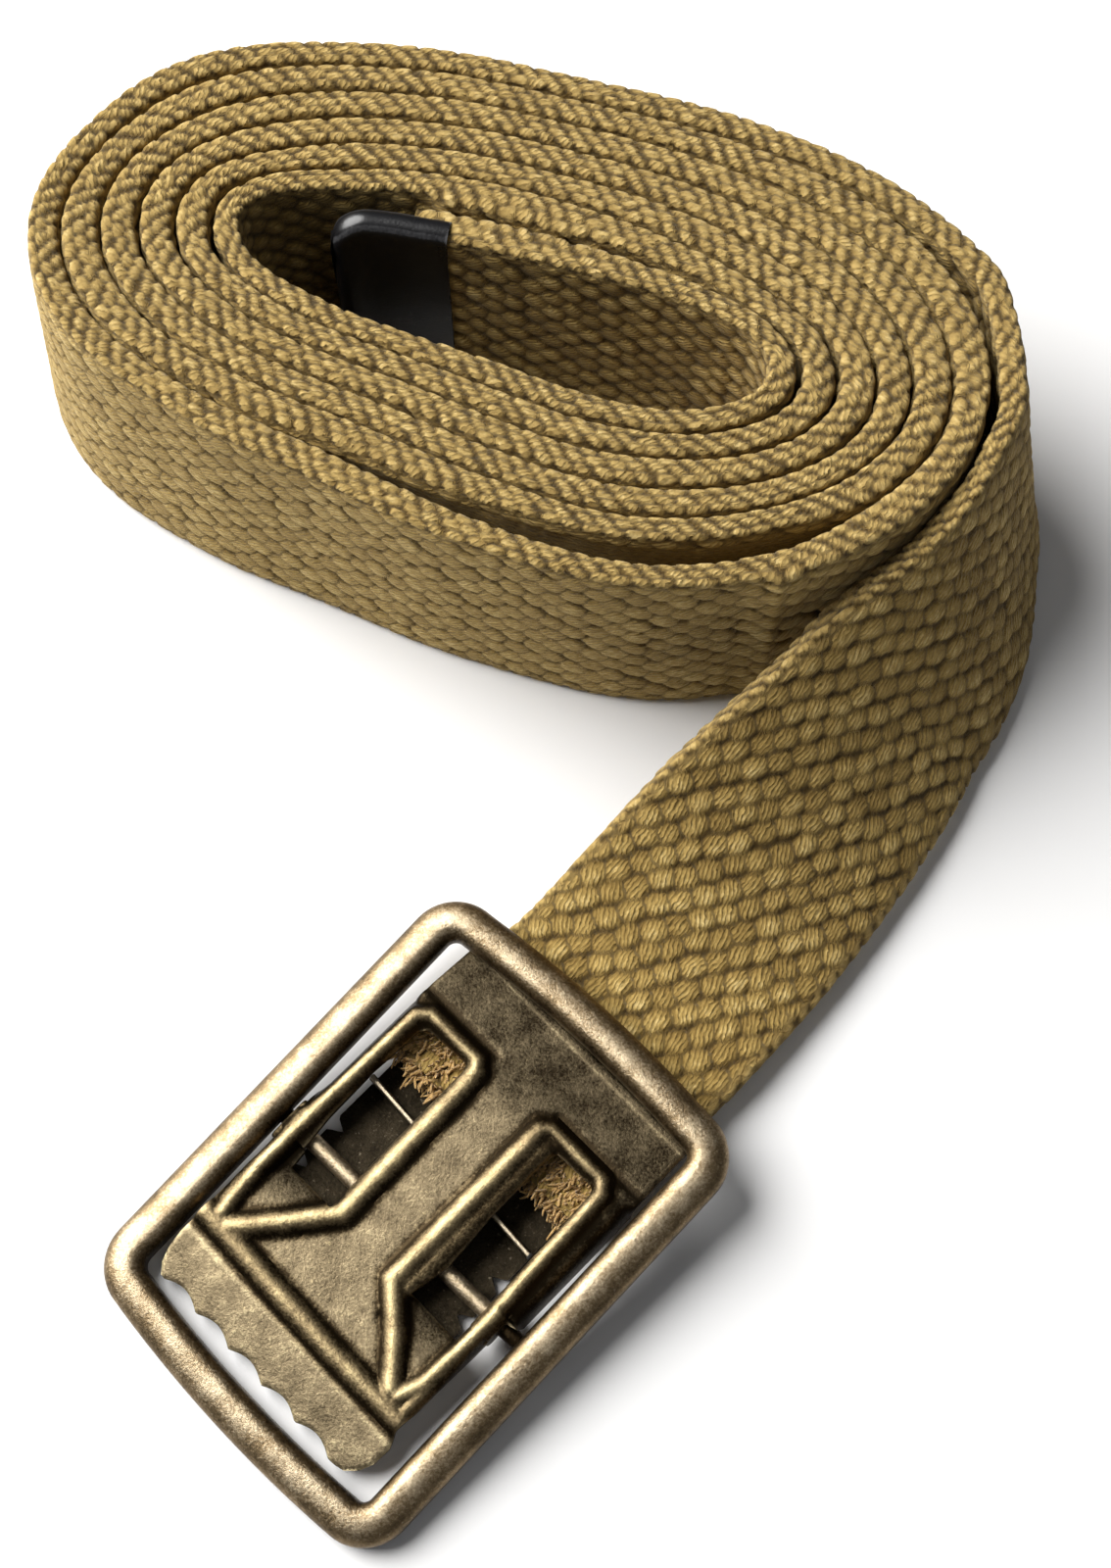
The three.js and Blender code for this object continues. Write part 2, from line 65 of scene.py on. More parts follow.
# Colours, in linear light, and the tones at which they are full
# The darkest cotton stops stand for painted shade in the gaps between bumps, the lightest for
# painted highlights on the strands
COTTON_TONES = (
    (0.08, (0.048, 0.026, 0.006)),
    (0.3, (0.14, 0.083, 0.019)),
    (0.58, (0.27, 0.175, 0.048)),
    (0.82, (0.43, 0.295, 0.094)),
    (1.0, (0.65, 0.49, 0.205)),
)
# Lighter fuzz of the edges, with a painted highlight on their bump tops
COTTON_EDGE_FUZZ_AND_LIGHT = (0.62, 0.45, 0.19)
COTTON_PATCH = (0.26, 0.17, 0.05)
COTTON_SHEEN = (0.95, 0.85, 0.62, 1)
YARN_TONES = (
    (0.3, (0.22, 0.11, 0.03)),
    (0.55, (0.56, 0.34, 0.105)),
    (0.75, (0.84, 0.58, 0.24)),
)
ENAMEL_TONES = ((0.7, (0.005, 0.005, 0.006)), (1.0, (0.09, 0.09, 0.095)))

# Dark, middle and light colour of each brass, the tones of the three, and the tint of flat metal
ANTIQUE = ((0.035, 0.023, 0.011), (0.24, 0.172, 0.094), (0.68, 0.56, 0.385))
GOLDEN = ((0.035, 0.024, 0.012), (0.24, 0.18, 0.096), (0.66, 0.53, 0.28))
# The clip's brass is dark both from tarnish and as painted shade below the plate
TARNISH_AND_SHADE = ((0.01, 0.008, 0.005), (0.045, 0.035, 0.022), (0.5, 0.42, 0.3))
BRASS_STOPS = (0.05, 0.5, 0.95)
FLAT_TINT = (0.97, 1.01, 1.12)

# Section of the webbing below its weave: a flat band with rounded edges. Its solid has a
# section of eight corners
BASE_HALF_WIDTH = 15.42
BASE_HALF_THICK = 1.22
EDGE_RADIUS = 0.5
EDGE_FLAT = BASE_HALF_THICK - EDGE_RADIUS
FACE_FLAT = 2 * (BASE_HALF_WIDTH - EDGE_RADIUS)
QUARTER = math.pi * EDGE_RADIUS / 2
HALF_ROUND = EDGE_FLAT + QUARTER + FACE_FLAT + QUARTER + EDGE_FLAT
SOLID_CORNERS = 8
BUMP_HEIGHT = 0.44
TALLEST_BUMP = 1.1
MOST_HALF_THICK = BASE_HALF_THICK + BUMP_HEIGHT * TALLEST_BUMP

# Weave on the faces and on the edges: repeat along and across, half length and half width
# of a bump, its turn from the length of the webbing, and the turn of its strands
FACE_WEAVE = (4.74, 2 * HALF_ROUND / 21, 1.8, 1.42, -30, 20)
EDGE_WEAVE = (2.3, 2.0, 1.15, 0.53, -14, 30)
STRAND_PITCH = 0.5

# One bump: powers of its outline and of its dome, its least size and how much chance adds,
# and how far it leans to its steep side
OUTLINE_POWER = 2.4
DOME_POWER = 0.45
LEAST_SIZE = 0.7
SIZE_RANGE = 0.34
STEEP_SIDE = 56
BUMP_LEAN = 0.32

# Chance in a bump's place, as a share of the repeat, in its turn and in that of its strands
WEAVE_JITTER = 0.15
TURN_JITTER = 0.7
TWIST_JITTER = 0.6

# The weave of the edge: how far it reaches from the middle of the edge, and its share of the
# height. Powers put on the height flatten the bumps' tops where they are below 1: one for the
# edge, and those of the face at stations along the webbing
EDGE_WEAVE_TO = 2.1
EDGE_BLEND = 0.5
EDGE_SHARE = 0.66
EDGE_PRESSED = 0.6
PRESSED = ((178, 300, 600, 1010, 1330, 1350), (1.3, 0.85, 0.85, 0.5, 0.5, 1.0))

# Steps between the rows and the columns of the webbing's mesh. Columns a good deal wider
# than FINE_COLUMN carry no weave
ROW_STEP = 0.36
PLAIN_STEP = 3.0
FINE_COLUMN = 0.6

# The upper edge waves slowly down from its full height
SWELL = 0.13
SWELL_SPACING = 19.0

# Half thickness for the room on that side, as (rooms), (half thicknesses): neighbouring turns
# press together, and a side with more room is free
ROOM_TO_THICK = ((1.3, 3.0, 3.2), (1.48, 3.35, MOST_HALF_THICK))

# Gaps that stay open: side (0 outer, 1 inner), where they start, are full and end, and share
OPEN_GAPS = (
    (0, (843, 852, 876, 912), 1.0), (1, (1103, 1112, 1136, 1172), 1.0),
    (0, (1054, 1064, 1072, 1082), 0.6), (1, (1332, 1344, 1356, 1368), 0.6),
)

# Stretches of the webbing, by distance from the inner end
TAIL_FROM = 9.0
INNER_TURN_TO = 178.0
MIDDLE_TO = 600.0
OUTER_FROM = 1010.0
OUTER_HALF = 1175.0
STRAP_FROM = 1330.0
CUT_BACK = 2.6

# Tip
TIP_LENGTH = 13.4
TIP_HALF_WIDTH = 15.87
TIP_HALF_THICK = 1.75
TIP_START = -0.9
TIP_CORNER = 4.6
TIP_EDGE = 1.6
TIP_WALL = 0.6
TIP_INSIDE = 2.5

# Buckle place: centre, turn about Z and rise towards the far bar
BUCKLE_CENTRE = (-13.6586, -50.2138, 4.6113)
BUCKLE_TURN = 46.4
BUCKLE_RISE = 5.5

# Ring
FRAME_HALF_X = 27.3
FRAME_HALF_Y = 20.2
FRAME_CENTRE_Y = -0.35
FRAME_BOW = 0.9
FRAME_TAPER = 0.35
FRAME_CORNER = 3.5
FRAME_SKEW = 0.0009
FRAME_CORNER_STEPS = 14
FRAME_SIDE_STEPS = 40
BAR_WIDTH = 4.6
BAR_TOP = 1.8
BAR_BOTTOM = -1.6
BAR_WIDEST = 0.1
BAR_CREST = -0.6
BAR_FOOT = 0.75
BAR_FOOT_STEPS = 4
BAR_DOME_STEPS = 18

# Cross bar
PIVOT_X = -2.2
PIVOT_Z = -1.4
PIVOT_RADIUS = 1.0
PIVOT_CLEARANCE = 0.15
PIVOT_SIDES = 28

# Rows of the cross bar from each end: distance from the end, share of the radius, and wear. The
# ends are left dark as painted shade below the plate, and the middle is bright as rubbed metal with
# a painted highlight
PIVOT_ROWS = ((0.0, 0.7, 0.0), (0.3, 1.0, 0.0), (4.4, 1.0, 0.0), (5.0, 1.0, 0.75))

# Plate
PLATE_THICK = 0.8
PLATE_CENTRE_Y = 0.6
PLATE_TURN = -1.9
PLATE_TOP = 0.6
PLATE_GRID = 0.3
PLATE_AREA = ((-26, 27.5), (-18, 18.01))
PLATE_BENDS = (
    (-24.6, -0.1), (-20.2, 0.55), (-17.5, 0.6), (15.6, 0.6), (25.0, -1.7), (26.2, -1.81),
)
PLATE_BEND_REACH = 1.1
LIP_X = -24.3
SCALLOP_COUNT = 5
SCALLOP_PITCH = 5.3
SCALLOP_DEPTH = 0.9
SCALLOP_STEPS = 8
LEFT_SIDE = (
    (26.2, 14.9), (25.2, 16.0), (3.2, 16.0), (0.5, 16.4), (-4.9, 16.3), (-7.6, 15.8),
    (-16.0, 15.6),
)
LIP_LEFT_END = ((-19.4, 15.6), (-21.6, 15.3), (-23.2, 14.7), (-24.2, 13.8))
LIP_RIGHT_END = (
    (-24.2, -14.2), (-23.9, -15.3), (-22.8, -16.4), (-21.2, -17.1), (-18.9, -17.2),
    (-17.2, -16.4),
)
# The right side runs out close to the ring, so that its dark flange partly covers the shaded floor
# there
RIGHT_SIDE = (
    (-14.0, -16.6), (-4.9, -16.6), (-1.2, -16.6), (-0.8, -18.0), (14.0, -17.9), (26.2, -17.4),
)

# Sides bent down as flanges, left and right: width, drop, and how x fades them in. Their darkness
# is painted shade, and the right one reaches out to the ring and partly stands in for the shaded
# floor of that gap
FLANGE_FROM_Y = 14
FLANGE_WIDTH = (1.0, 2.2)
FLANGE_DROP = (1.3, 3.0)
FLANGE_FADE = (1.0, 2.0)
FLANGE_START = (1.5, 1.8)

# Flaps that slope down into the windows, in the two pockets between the rails, painted darker as
# shade where they go down
FLAP_FROM_X = -11.5
FLAP_END_X = -6.3
FLAP_LAST_X = -4
FLAP_DROP = 1.4
FLAP_POWER = 1.5
LEFT_POCKET_Y = 5.5
RIGHT_POCKET_Y = -6.2

# Rails round the windows: centre line, half width and rise, in the plate's own axes
RAILS = (
    (((-16.2, -16.0), (-16.4, -5.0), (-16.3, 5.0), (-16.0, 15.2)), 1.65, 0.9),
    ((
        (-14.8, 13.8), (-12.8, 14.1), (-8.5, 14.6), (0.0, 14.6),
        (15.2, 14.4), (16.5, 13.2), (16.5, 5.8), (15.4, 5.0),
    ), 1.25, 1.0),
    (((15.4, 5.0), (12.0, 4.8), (-5.5, 4.2), (-10.3, 7.8), (-15.4, 12.1)), 1.6, 1.0),
    ((
        (-14.6, -14.0), (-11.6, -15.0), (-6.0, -15.2), (-1.5, -15.2), (4.0, -14.75),
        (10.0, -14.5), (15.8, -14.3), (17.0, -13.2), (17.0, -5.4), (16.0, -4.6),
    ), 1.25, 1.0),
    (((16.0, -4.6), (-6.6, -4.7), (-10.2, -8.9), (-14.6, -12.9)), 1.55, 1.0),
    (((15.4, -6.2), (-6.0, -6.3)), 1.5, 0.5),
    (((-0.8, 15.0), (-9.0, 14.8), (-13.5, 14.4)), 1.15, 0.8),
    (((-0.5, -15.4), (-12.0, -15.6), (-15.0, -15.6)), 1.1, 0.8),
)
RAIL_POWER = 0.8
FAR_GROOVE_X = 18.3
GROOVE_HALF = 0.5
GROOVE_FROM_Y = 4.0
GROOVE_DEPTH = 0.25
ROLLED_WIDTH = 0.35
ROLLED_DROP = 0.14

# Wear of the plate, from 0 for tarnish to 1 for bright metal: on the flat, at a rail's foot and
# added on its top, then what the low places lose, and what the rim and the creases gain. Flaps
# and flanges lose brightness as painted shade, the far part turns darker towards the far end,
# and the creases gain a painted highlight as well as rubbing. A crease is (x, half width, wear)
FLAT_WEAR = 0.43
RAIL_FOOT_WEAR = 0.15
RAIL_TOP_WEAR = 0.6
RECESS_OFF = 0.2
RECESS_HALF = 0.4
RECESS_TARNISH = 0.4
FLAP_SHADE = 0.3
FLANGE_SHADE = 0.5
GROOVE_TARNISH = 0.4
# Darkening of the far part: amount, where it starts, and how far it runs to full
FAR_DARKENING = 0.22
FAR_DARKENING_X = 4.0
FAR_DARKENING_RUN = 18.0
RIM_WEAR = 0.35
RIM_WIDTH = 0.3
RIM_WEAR_TO_X = 17
# Each crease gains rubbing and a painted highlight along its bend
CREASES = ((-18.6, 0.3, 0.3), (25.0, 0.2, 0.35))

# Cut edges of the windows, in the plate's own axes
WINDOWS = (
    (
        (-6.3, 12.3), (0.6, 13.1), (7.5, 13.3), (14.0, 13.0), (15.0, 12.2),
        (15.3, 6.7), (14.6, 6.1), (6.0, 6.0), (-1.4, 5.9), (-6.2, 5.5),
    ),
    (
        (-6.3, -14.1), (0.0, -14.0), (10.0, -13.6), (15.0, -13.4), (15.6, -12.8),
        (15.4, -7.8), (14.8, -7.3), (5.5, -7.45), (-1.4, -8.0), (-6.2, -7.2),
    ),
)

# Ears, whose outline is given as directions round the bore
EAR_LENGTH = 5.4
EAR_OUT = 16.5
EAR_DROP = 3.4
EAR_BELOW_TOP = 0.3
EAR_SIDES = 40
EAR_CORNER = 1.08
EAR_BEVEL = 0.96

# Clip, and the jaw turned up from it: rows of (height, share of half the thickness, wear); the top
# rows carry a painted highlight along the jaw's edge
CLIP_THICK = 0.8
CLIP_HALF_WIDTH = 13.2
CLIP_PATH = (
    (-14.2, -1.5), (-7.5, -2.5), (-3.6, -3.4), (1.2, -3.85), (7.0, -4.6), (23.5, -6.2),
)
CLIP_BEND_REACH = 1.0
CLIP_STEP = 0.35
CLIP_LEVELS = 9
CLIP_NOTCHES = (0.8, -4.6)
CLIP_NOTCH_DEPTH = 1.7
CLIP_NOTCH_HALF = 0.9
CLIP_WEAR = 0.3
JAW_X = 6.3
JAW_SKEW = 1.1
JAW_TOP = -1.0
JAW_ROWS = ((-4.9, 1.0, 0.2), (-1.4, 1.0, 0.25), (JAW_TOP - 0.12, 0.7, 0.75), (JAW_TOP, 0.35, 1.1))

# Brush of yarns at the cut end, each value drawn between two numbers
BRUSH_COUNT = 1500
BRUSH_BACK = (-0.3, 6.5)
BRUSH_HALF_WIDTH = 13.5
BRUSH_ABOVE = (0.7, 1.55)
BRUSH_LIFT = (0.1, 0.8)
BRUSH_SPREAD = 0.35
BRUSH_BEND = 0.6
BRUSH_DROOP = -0.25
YARN_LENGTH = (0.7, 1.8)
YARN_RADIUS = (0.12, 0.22)
YARN_STEPS = 5
YARN_SIDES = 5


def add_object(name, data):
    """A new object in the scene."""
    thing = bpy.data.objects.new(name, data)
    bpy.context.scene.collection.objects.link(thing)
    return thing


def make_piece(name, points, faces, material, slot, *nodes, body="belt", values=None, sharp=None):
    """A piece from millimetre points and faces of equal length, in place of the CAD's nodes.

    The values are attributes of its points, and edges are sharp from the angle sharp.
    """
    points = np.reshape(points, (-1, 3))
    faces = np.asarray(faces, np.int32)
    count, corners = faces.shape
    mesh = bpy.data.meshes.new(name)
    mesh.vertices.add(len(points))
    mesh.vertices.foreach_set("co", (points * MM).astype(np.float32).ravel())
    mesh.loops.add(faces.size)
    mesh.loops.foreach_set("vertex_index", faces.ravel())
    mesh.polygons.add(count)
    mesh.polygons.foreach_set("loop_start", np.arange(0, faces.size, corners, dtype=np.int32))
    mesh.polygons.foreach_set("use_smooth", np.full(count, True))
    for key, field in (values or {}).items():
        attribute = mesh.attributes.new(key, "FLOAT", "POINT")
        attribute.data.foreach_set("value", np.asarray(field, np.float32).ravel())
    mesh.update(calc_edges=True)
    mesh.validate()
    if sharp is not None:
        mesh.set_sharp_from_angle(angle=math.radians(sharp))
    mesh.materials.append(material)
    piece = add_object(name, mesh)
    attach(piece, body)
    if nodes:
        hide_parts(*nodes)
    return piece


def chance(a, b, salt):
    """Numbers from 0 to 1 that depend on whole numbers a and b."""
    return np.modf(np.abs(np.sin(a * 12.9898 + b * 78.233 + salt * 37.719)) * 43758.5453)[0]


def wander(x, spacing, salt):
    """Smooth noise from -1 to 1 along x."""
    place = np.asarray(x) / spacing
    whole = np.floor(place)
    part = place - whole
    ease = part * part * (3 - 2 * part)
    before, after = chance(whole, 0.0, salt), chance(whole + 1, 0.0, salt)
    return 2 * (before + (after - before) * ease) - 1


def follow(known, values, at):
    """Smooth curve through values at known distances."""
    slope = np.gradient(values, known, axis=0)
    i = np.clip(np.searchsorted(known, at) - 1, 0, len(known) - 2)
    span = (known[i + 1] - known[i])[:, None]
    t = (at - known[i])[:, None] / span
    start = (2 * t**3 - 3 * t**2 + 1) * values[i] + (t**3 - 2 * t**2 + t) * span * slope[i]
    end = (3 * t**2 - 2 * t**3) * values[i + 1] + (t**3 - t**2) * span * slope[i + 1]
    return start + end


def clamp(values):
    """Values kept from 0 to 1."""
    return np.clip(values, 0, 1)


def bell(x, middle, half):
    """A smooth bump, one high at its middle."""
    return np.exp(-(((x - middle) / half) ** 2))


def rounded_bends(x, bends, reach):
    """Height of a bent sheet at x, from its bends as (x, z) and with each one rounded."""
    bends_x, bends_z = np.array(bends).T
    around_x = np.linspace(-reach, reach, 9)
    return np.mean([np.interp(x + r, bends_x, bends_z) for r in around_x], axis=0)


def full_turn(count):
    """Angles evenly spaced round a full turn."""
    return np.arange(count) * 2 * math.pi / count


def unit(vectors):
    """Vectors made one long."""
    return vectors / np.linalg.norm(vectors, axis=-1, keepdims=True)


def lattice_faces(rows, columns):
    """Quads between rows of points, each row closed to a ring."""
    i = np.arange(rows - 1)[:, None] * columns
    j = np.arange(columns)
    ahead = (j + 1) % columns
    quads = np.stack([i + j, i + ahead, i + columns + ahead, i + columns + j], axis=-1)
    return quads.reshape(-1, 4)


def triangles_of(quads):
    """Two triangles for each quad."""
    return np.vstack([quads[:, [0, 1, 2]], quads[:, [0, 2, 3]]])


# Camera, light and floor

def fill_ramp(node, stops):
    """Sets the stops of a colour ramp, each one (place, colour)."""
    elements = node.color_ramp.elements
    while len(elements) < len(stops):
        elements.new(0.5)
    for element, (position, color) in zip(elements, stops):
        element.position = position
        element.color = (*color, 1)


def make_camera():
    data = bpy.data.cameras.new("camera")
    data.sensor_width = SENSOR
    data.lens = FOCAL_PIXELS / LONG_SIDE_PIXELS * SENSOR
    data.clip_start = 10 * MM
    camera = add_object("camera", data)
    camera.location = Vector(CAMERA_PLACE) * MM
    camera.rotation_euler = (math.radians(90 - CAMERA_DOWN), 0, 0)
    bpy.context.scene.camera = camera
    bpy.context.scene.view_settings.view_transform = "Standard"


def make_light(name, place, size, power, color):
    """A round lamp that shines at the origin, its place and size in metres."""
    data = bpy.data.lights.new(name, "AREA")
    data.shape, data.size, data.energy, data.color = "DISK", size, power, color
    light = add_object(name, data)
    light.location = place
    light.rotation_euler = (-Vector(place)).to_track_quat("-Z", "Y").to_euler()


def make_world():
    """Grey surroundings that depend on height alone."""
    bpy.context.scene.world = world = bpy.data.worlds.new("studio")
    world.use_nodes = True
    nodes, links = world.node_tree.nodes, world.node_tree.links
    where = nodes.new("ShaderNodeTexCoord")
    split = nodes.new("ShaderNodeSeparateXYZ")
    ramp = nodes.new("ShaderNodeValToRGB")
    fill_ramp(ramp, [(height, (grey, grey, grey * SKY_BLUE)) for height, grey in SKY_STOPS])
    links.new(where.outputs["Generated"], split.inputs[0])
    links.new(split.outputs["Z"], ramp.inputs["Fac"])
    links.new(ramp.outputs["Color"], nodes["Background"].inputs["Color"])
    nodes["Background"].inputs["Strength"].default_value = SKY_STRENGTH


def make_floor():
    half = FLOOR_HALF * MM
    mesh = bpy.data.meshes.new("floor")
    mesh.from_pydata([(x * half, y * half, 0) for x, y in CORNERS], [], [(0, 1, 2, 3)])
    material = bpy.data.materials.new("floor")
    material.use_nodes = True
    shader = material.node_tree.nodes["Principled BSDF"]
    shader.inputs["Base Color"].default_value = (*FLOOR_COLOUR, 1)
    shader.inputs["Roughness"].default_value = 0.6
    mesh.materials.append(material)
    floor = add_object("floor", mesh)


make_camera()
make_world()
make_floor()
make_light("key", (-0.72, 0.38, 0.74), 1.1, 30.0, (1, 0.99, 0.97))
make_light("fill", (0.3, -0.5, 0.9), 0.8, 0.5, (0.97, 0.985, 1))


# Materials

class Recipe:
    """Builds the nodes of one material. Inputs are sockets or plain numbers."""

    def __init__(self, name):
        self.material = bpy.data.materials.new(name)
        self.material.use_nodes = True
        self.tree = self.material.node_tree
        self.shader = self.tree.nodes["Principled BSDF"]

    def plug(self, socket, value):
        if isinstance(value, bpy.types.NodeSocket):
            self.tree.links.new(value, socket)
        else:
            socket.default_value = value

    def add(self, kind, inputs, **settings):
        node = self.tree.nodes.new(kind)
        for key, value in settings.items():
            setattr(node, key, value)
        for key, value in inputs.items():
            self.plug(node.inputs[key], value)
        return node

    def math(self, operation, a, b=0.0, c=0.0):
        return self.add("ShaderNodeMath", {0: a, 1: b, 2: c}, operation=operation).outputs[0]

    def noise(self, vector, scale, detail=3.0, roughness=0.55):
        inputs = {"Vector": vector, "Scale": scale, "Detail": detail, "Roughness": roughness}
        return self.add("ShaderNodeTexNoise", inputs).outputs[0]

    def ramp(self, factor, *stops):
        node = self.add("ShaderNodeValToRGB", {"Fac": factor})
        fill_ramp(node, stops)
        return node.outputs["Color"]

    def mix(self, factor, a, b, blend="MIX"):
        node = self.add("ShaderNodeMix", {}, data_type="RGBA", blend_type=blend)
        self.plug(node.inputs["Factor"], factor)
        for socket, value in ((node.inputs[6], a), (node.inputs[7], b)):
            self.plug(socket, value if isinstance(value, bpy.types.NodeSocket) else (*value, 1))
        return node.outputs[2]

    def attribute(self, name):
        return self.add("ShaderNodeAttribute", {}, attribute_name=name).outputs["Fac"]

    def place(self):
        """Place on the object, in millimetres."""
        where = self.add("ShaderNodeTexCoord", {}).outputs["Object"]
        inputs = {0: where, "Scale": 1 / MM}
        return self.add("ShaderNodeVectorMath", inputs, operation="SCALE").outputs[0]

    def bump(self, height, distance):
        inputs = {"Height": height, "Distance": distance * MM}
        return self.add("ShaderNodeBump", inputs).outputs[0]

    def surface(self, **inputs):
        """Sets inputs of the shader, named with _ for a space, and gives the material."""
        for key, value in inputs.items():
            self.plug(self.shader.inputs[key.replace("_", " ")], value)
        return self.material


def cotton():
    """Khaki cotton weave: each bump has its own shade of khaki and a few twisted strands, with
    painted shade in the gaps between bumps and painted highlights along the strands.

    Its attributes come from weave_at: relief is the height of the bumps, tint a number for each
    bump, strand the count across the strands, run the way along them, and edge 1 on the edges.
    """
    r = Recipe("khaki_cotton")
    place = r.place()
    relief = r.attribute("relief")
    own_axes = (("strand", 1.6), ("run", 1.1), ("tint", 50))
    inputs = {k: r.math("MULTIPLY", r.attribute(key), by) for k, (key, by) in enumerate(own_axes)}
    streak = r.noise(r.add("ShaderNodeCombineXYZ", inputs).outputs[0], 1.0, 3.0, 0.6)
    sway = r.noise(place, 0.8, 2.0)
    count = r.math("MULTIPLY_ADD", sway, 1.6, r.attribute("strand"))
    wave = r.math("ABSOLUTE", r.math("SINE", r.math("MULTIPLY", count, math.pi)))
    strand = r.math("POWER", wave, 0.7)
    fuzz = r.noise(place, 7.0, 4.0, 0.75)
    own = r.math("MULTIPLY_ADD", r.attribute("tint"), 0.08, -0.505)
    # Painted highlights along the strands and in short streaks, with painted shade between the
    # strands
    painted_strand_light = r.math("MULTIPLY_ADD", strand, 0.11, r.math("MULTIPLY", streak, 0.93))
    hairs = r.math("MULTIPLY_ADD", fuzz, 0.45, -0.225)
    # Low relief darkens the tone: painted shade in the gaps between bumps
    tone = r.math("ADD", r.math("MULTIPLY_ADD", relief, 0.76, own), r.math("ADD", painted_strand_light, hairs))
    # Edge bumps turn lighter on their tops: lighter fuzz with a painted highlight
    edge = r.math("MULTIPLY", r.attribute("edge"), r.math("MULTIPLY", relief, 0.22))
    shade = r.mix(edge, r.ramp(tone, *COTTON_TONES), COTTON_EDGE_FUZZ_AND_LIGHT)
    patch = r.noise(place, 0.05, 3.0)
    shade = r.mix(r.math("MULTIPLY", patch, 0.25), shade, COTTON_PATCH)
    twisted = r.math("MULTIPLY_ADD", fuzz, 0.7, strand)
    height = r.math("ADD", twisted, r.math("MULTIPLY", streak, 1.4))
    return r.surface(
        Base_Color=shade,
        Roughness=0.92,
        Specular_IOR_Level=0.2,
        Sheen_Weight=0.2,
        Sheen_Roughness=0.45,
        Sheen_Tint=COTTON_SHEEN,
        Normal=r.bump(height, 0.1),
    )


def yarn():
    """Loose cotton of the cut end, warmer and lighter than the weave."""
    r = Recipe("cut_yarn")
    tone = r.noise(r.place(), 2.6, 4.0, 0.65)
    shade = r.ramp(tone, *YARN_TONES)
    normal = r.bump(tone, 0.4)
    return r.surface(Base_Color=shade, Roughness=0.9, Sheen_Weight=0.3, Normal=normal)


def brass(name, colours, roughness):
    """Antique brass: rubbed high places, dark tarnish in the low ones, small bright specks.

    One attribute runs from 0 for tarnish to 1 for bright metal, and in places it also carries
    painted shade and painted highlights; flat marks flat sheet.
    """
    r = Recipe(name)
    place = r.place()
    cloud = r.noise(place, 0.3, 6.0, 0.7)
    grain = r.noise(place, 3.2, 4.0, 0.75)
    specks = r.noise(place, 2.2, 1.0, 0.5)
    uneven = r.math("SUBTRACT", r.math("ADD", cloud, grain), 1.0)
    tone = r.math("ADD", r.attribute("wear_and_painted_light"), uneven)
    shade = r.ramp(tone, *zip(BRASS_STOPS, colours))
    tinted = r.mix(1.0, shade, FLAT_TINT, "MULTIPLY")
    shade = r.mix(r.attribute("flat"), shade, tinted)
    glint = r.ramp(specks, (0.69, (0, 0, 0)), (0.76, (1, 1, 1)))
    glint = r.math("MULTIPLY", glint, r.math("MULTIPLY", r.attribute("wear_and_painted_light"), 0.6))
    shade = r.mix(glint, shade, colours[-1])
    rough = r.math("MULTIPLY_ADD", grain, 0.35, roughness - 0.175)
    height = r.math("MULTIPLY_ADD", cloud, 2.0, grain)
    return r.surface(Base_Color=shade, Metallic=1.0, Roughness=rough, Normal=r.bump(height, 0.06))


def black_enamel():
    """Black lacquered sheet metal, worn greyer along its edges, which also carry a painted
    highlight.
    """
    r = Recipe("black_enamel")
    place = r.place()
    smear = r.noise(place, 0.25, 3.0)
    grain = r.noise(place, 3.0, 3.0)
    rough = r.math("MULTIPLY_ADD", smear, 0.2, 0.2)
    tone = r.math("MULTIPLY_ADD", grain, 0.3, r.attribute("wear_and_painted_light"))
    shade = r.ramp(tone, *ENAMEL_TONES)
    normal = r.bump(r.math("MULTIPLY_ADD", smear, 2.0, grain), 0.02)
    return r.surface(Base_Color=shade, Roughness=rough, Coat_Weight=0.1, Normal=normal)


# Webbing

def webbing_sections():
    """The sections of the CAD webbing, in order from the inner end to the cut end."""
    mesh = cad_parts["webbing"].data
    flat = np.empty(len(mesh.vertices) * 3, np.float32)
    mesh.vertices.foreach_get("co", flat)
    places = np.round(flat.reshape(-1, 3).astype(float) / MM, 3)
    places, same = np.unique(places, axis=0, return_inverse=True)
    ends = np.empty(len(mesh.edges) * 2, np.int32)
    mesh.edges.foreach_get("vertices", ends)
    touching = [set() for _ in places]
    for a, b in same.ravel()[ends].reshape(-1, 2):
        touching[a].add(b)
        touching[b].add(a)
    tip_low, tip_high = (np.array(corner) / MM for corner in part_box("belt_tip"))
    covered = np.all((places > tip_low) & (places < tip_high), axis=1)
    section = set([i for i in np.argsort(places[:, 0]) if covered[i]][:SOLID_CORNERS])
    done = set()
    sections = []
    while section:
        sections.append(sorted(section))
        done |= section
        section = set().union(*(touching[i] for i in section)) - done
    return places[np.array(sections)]


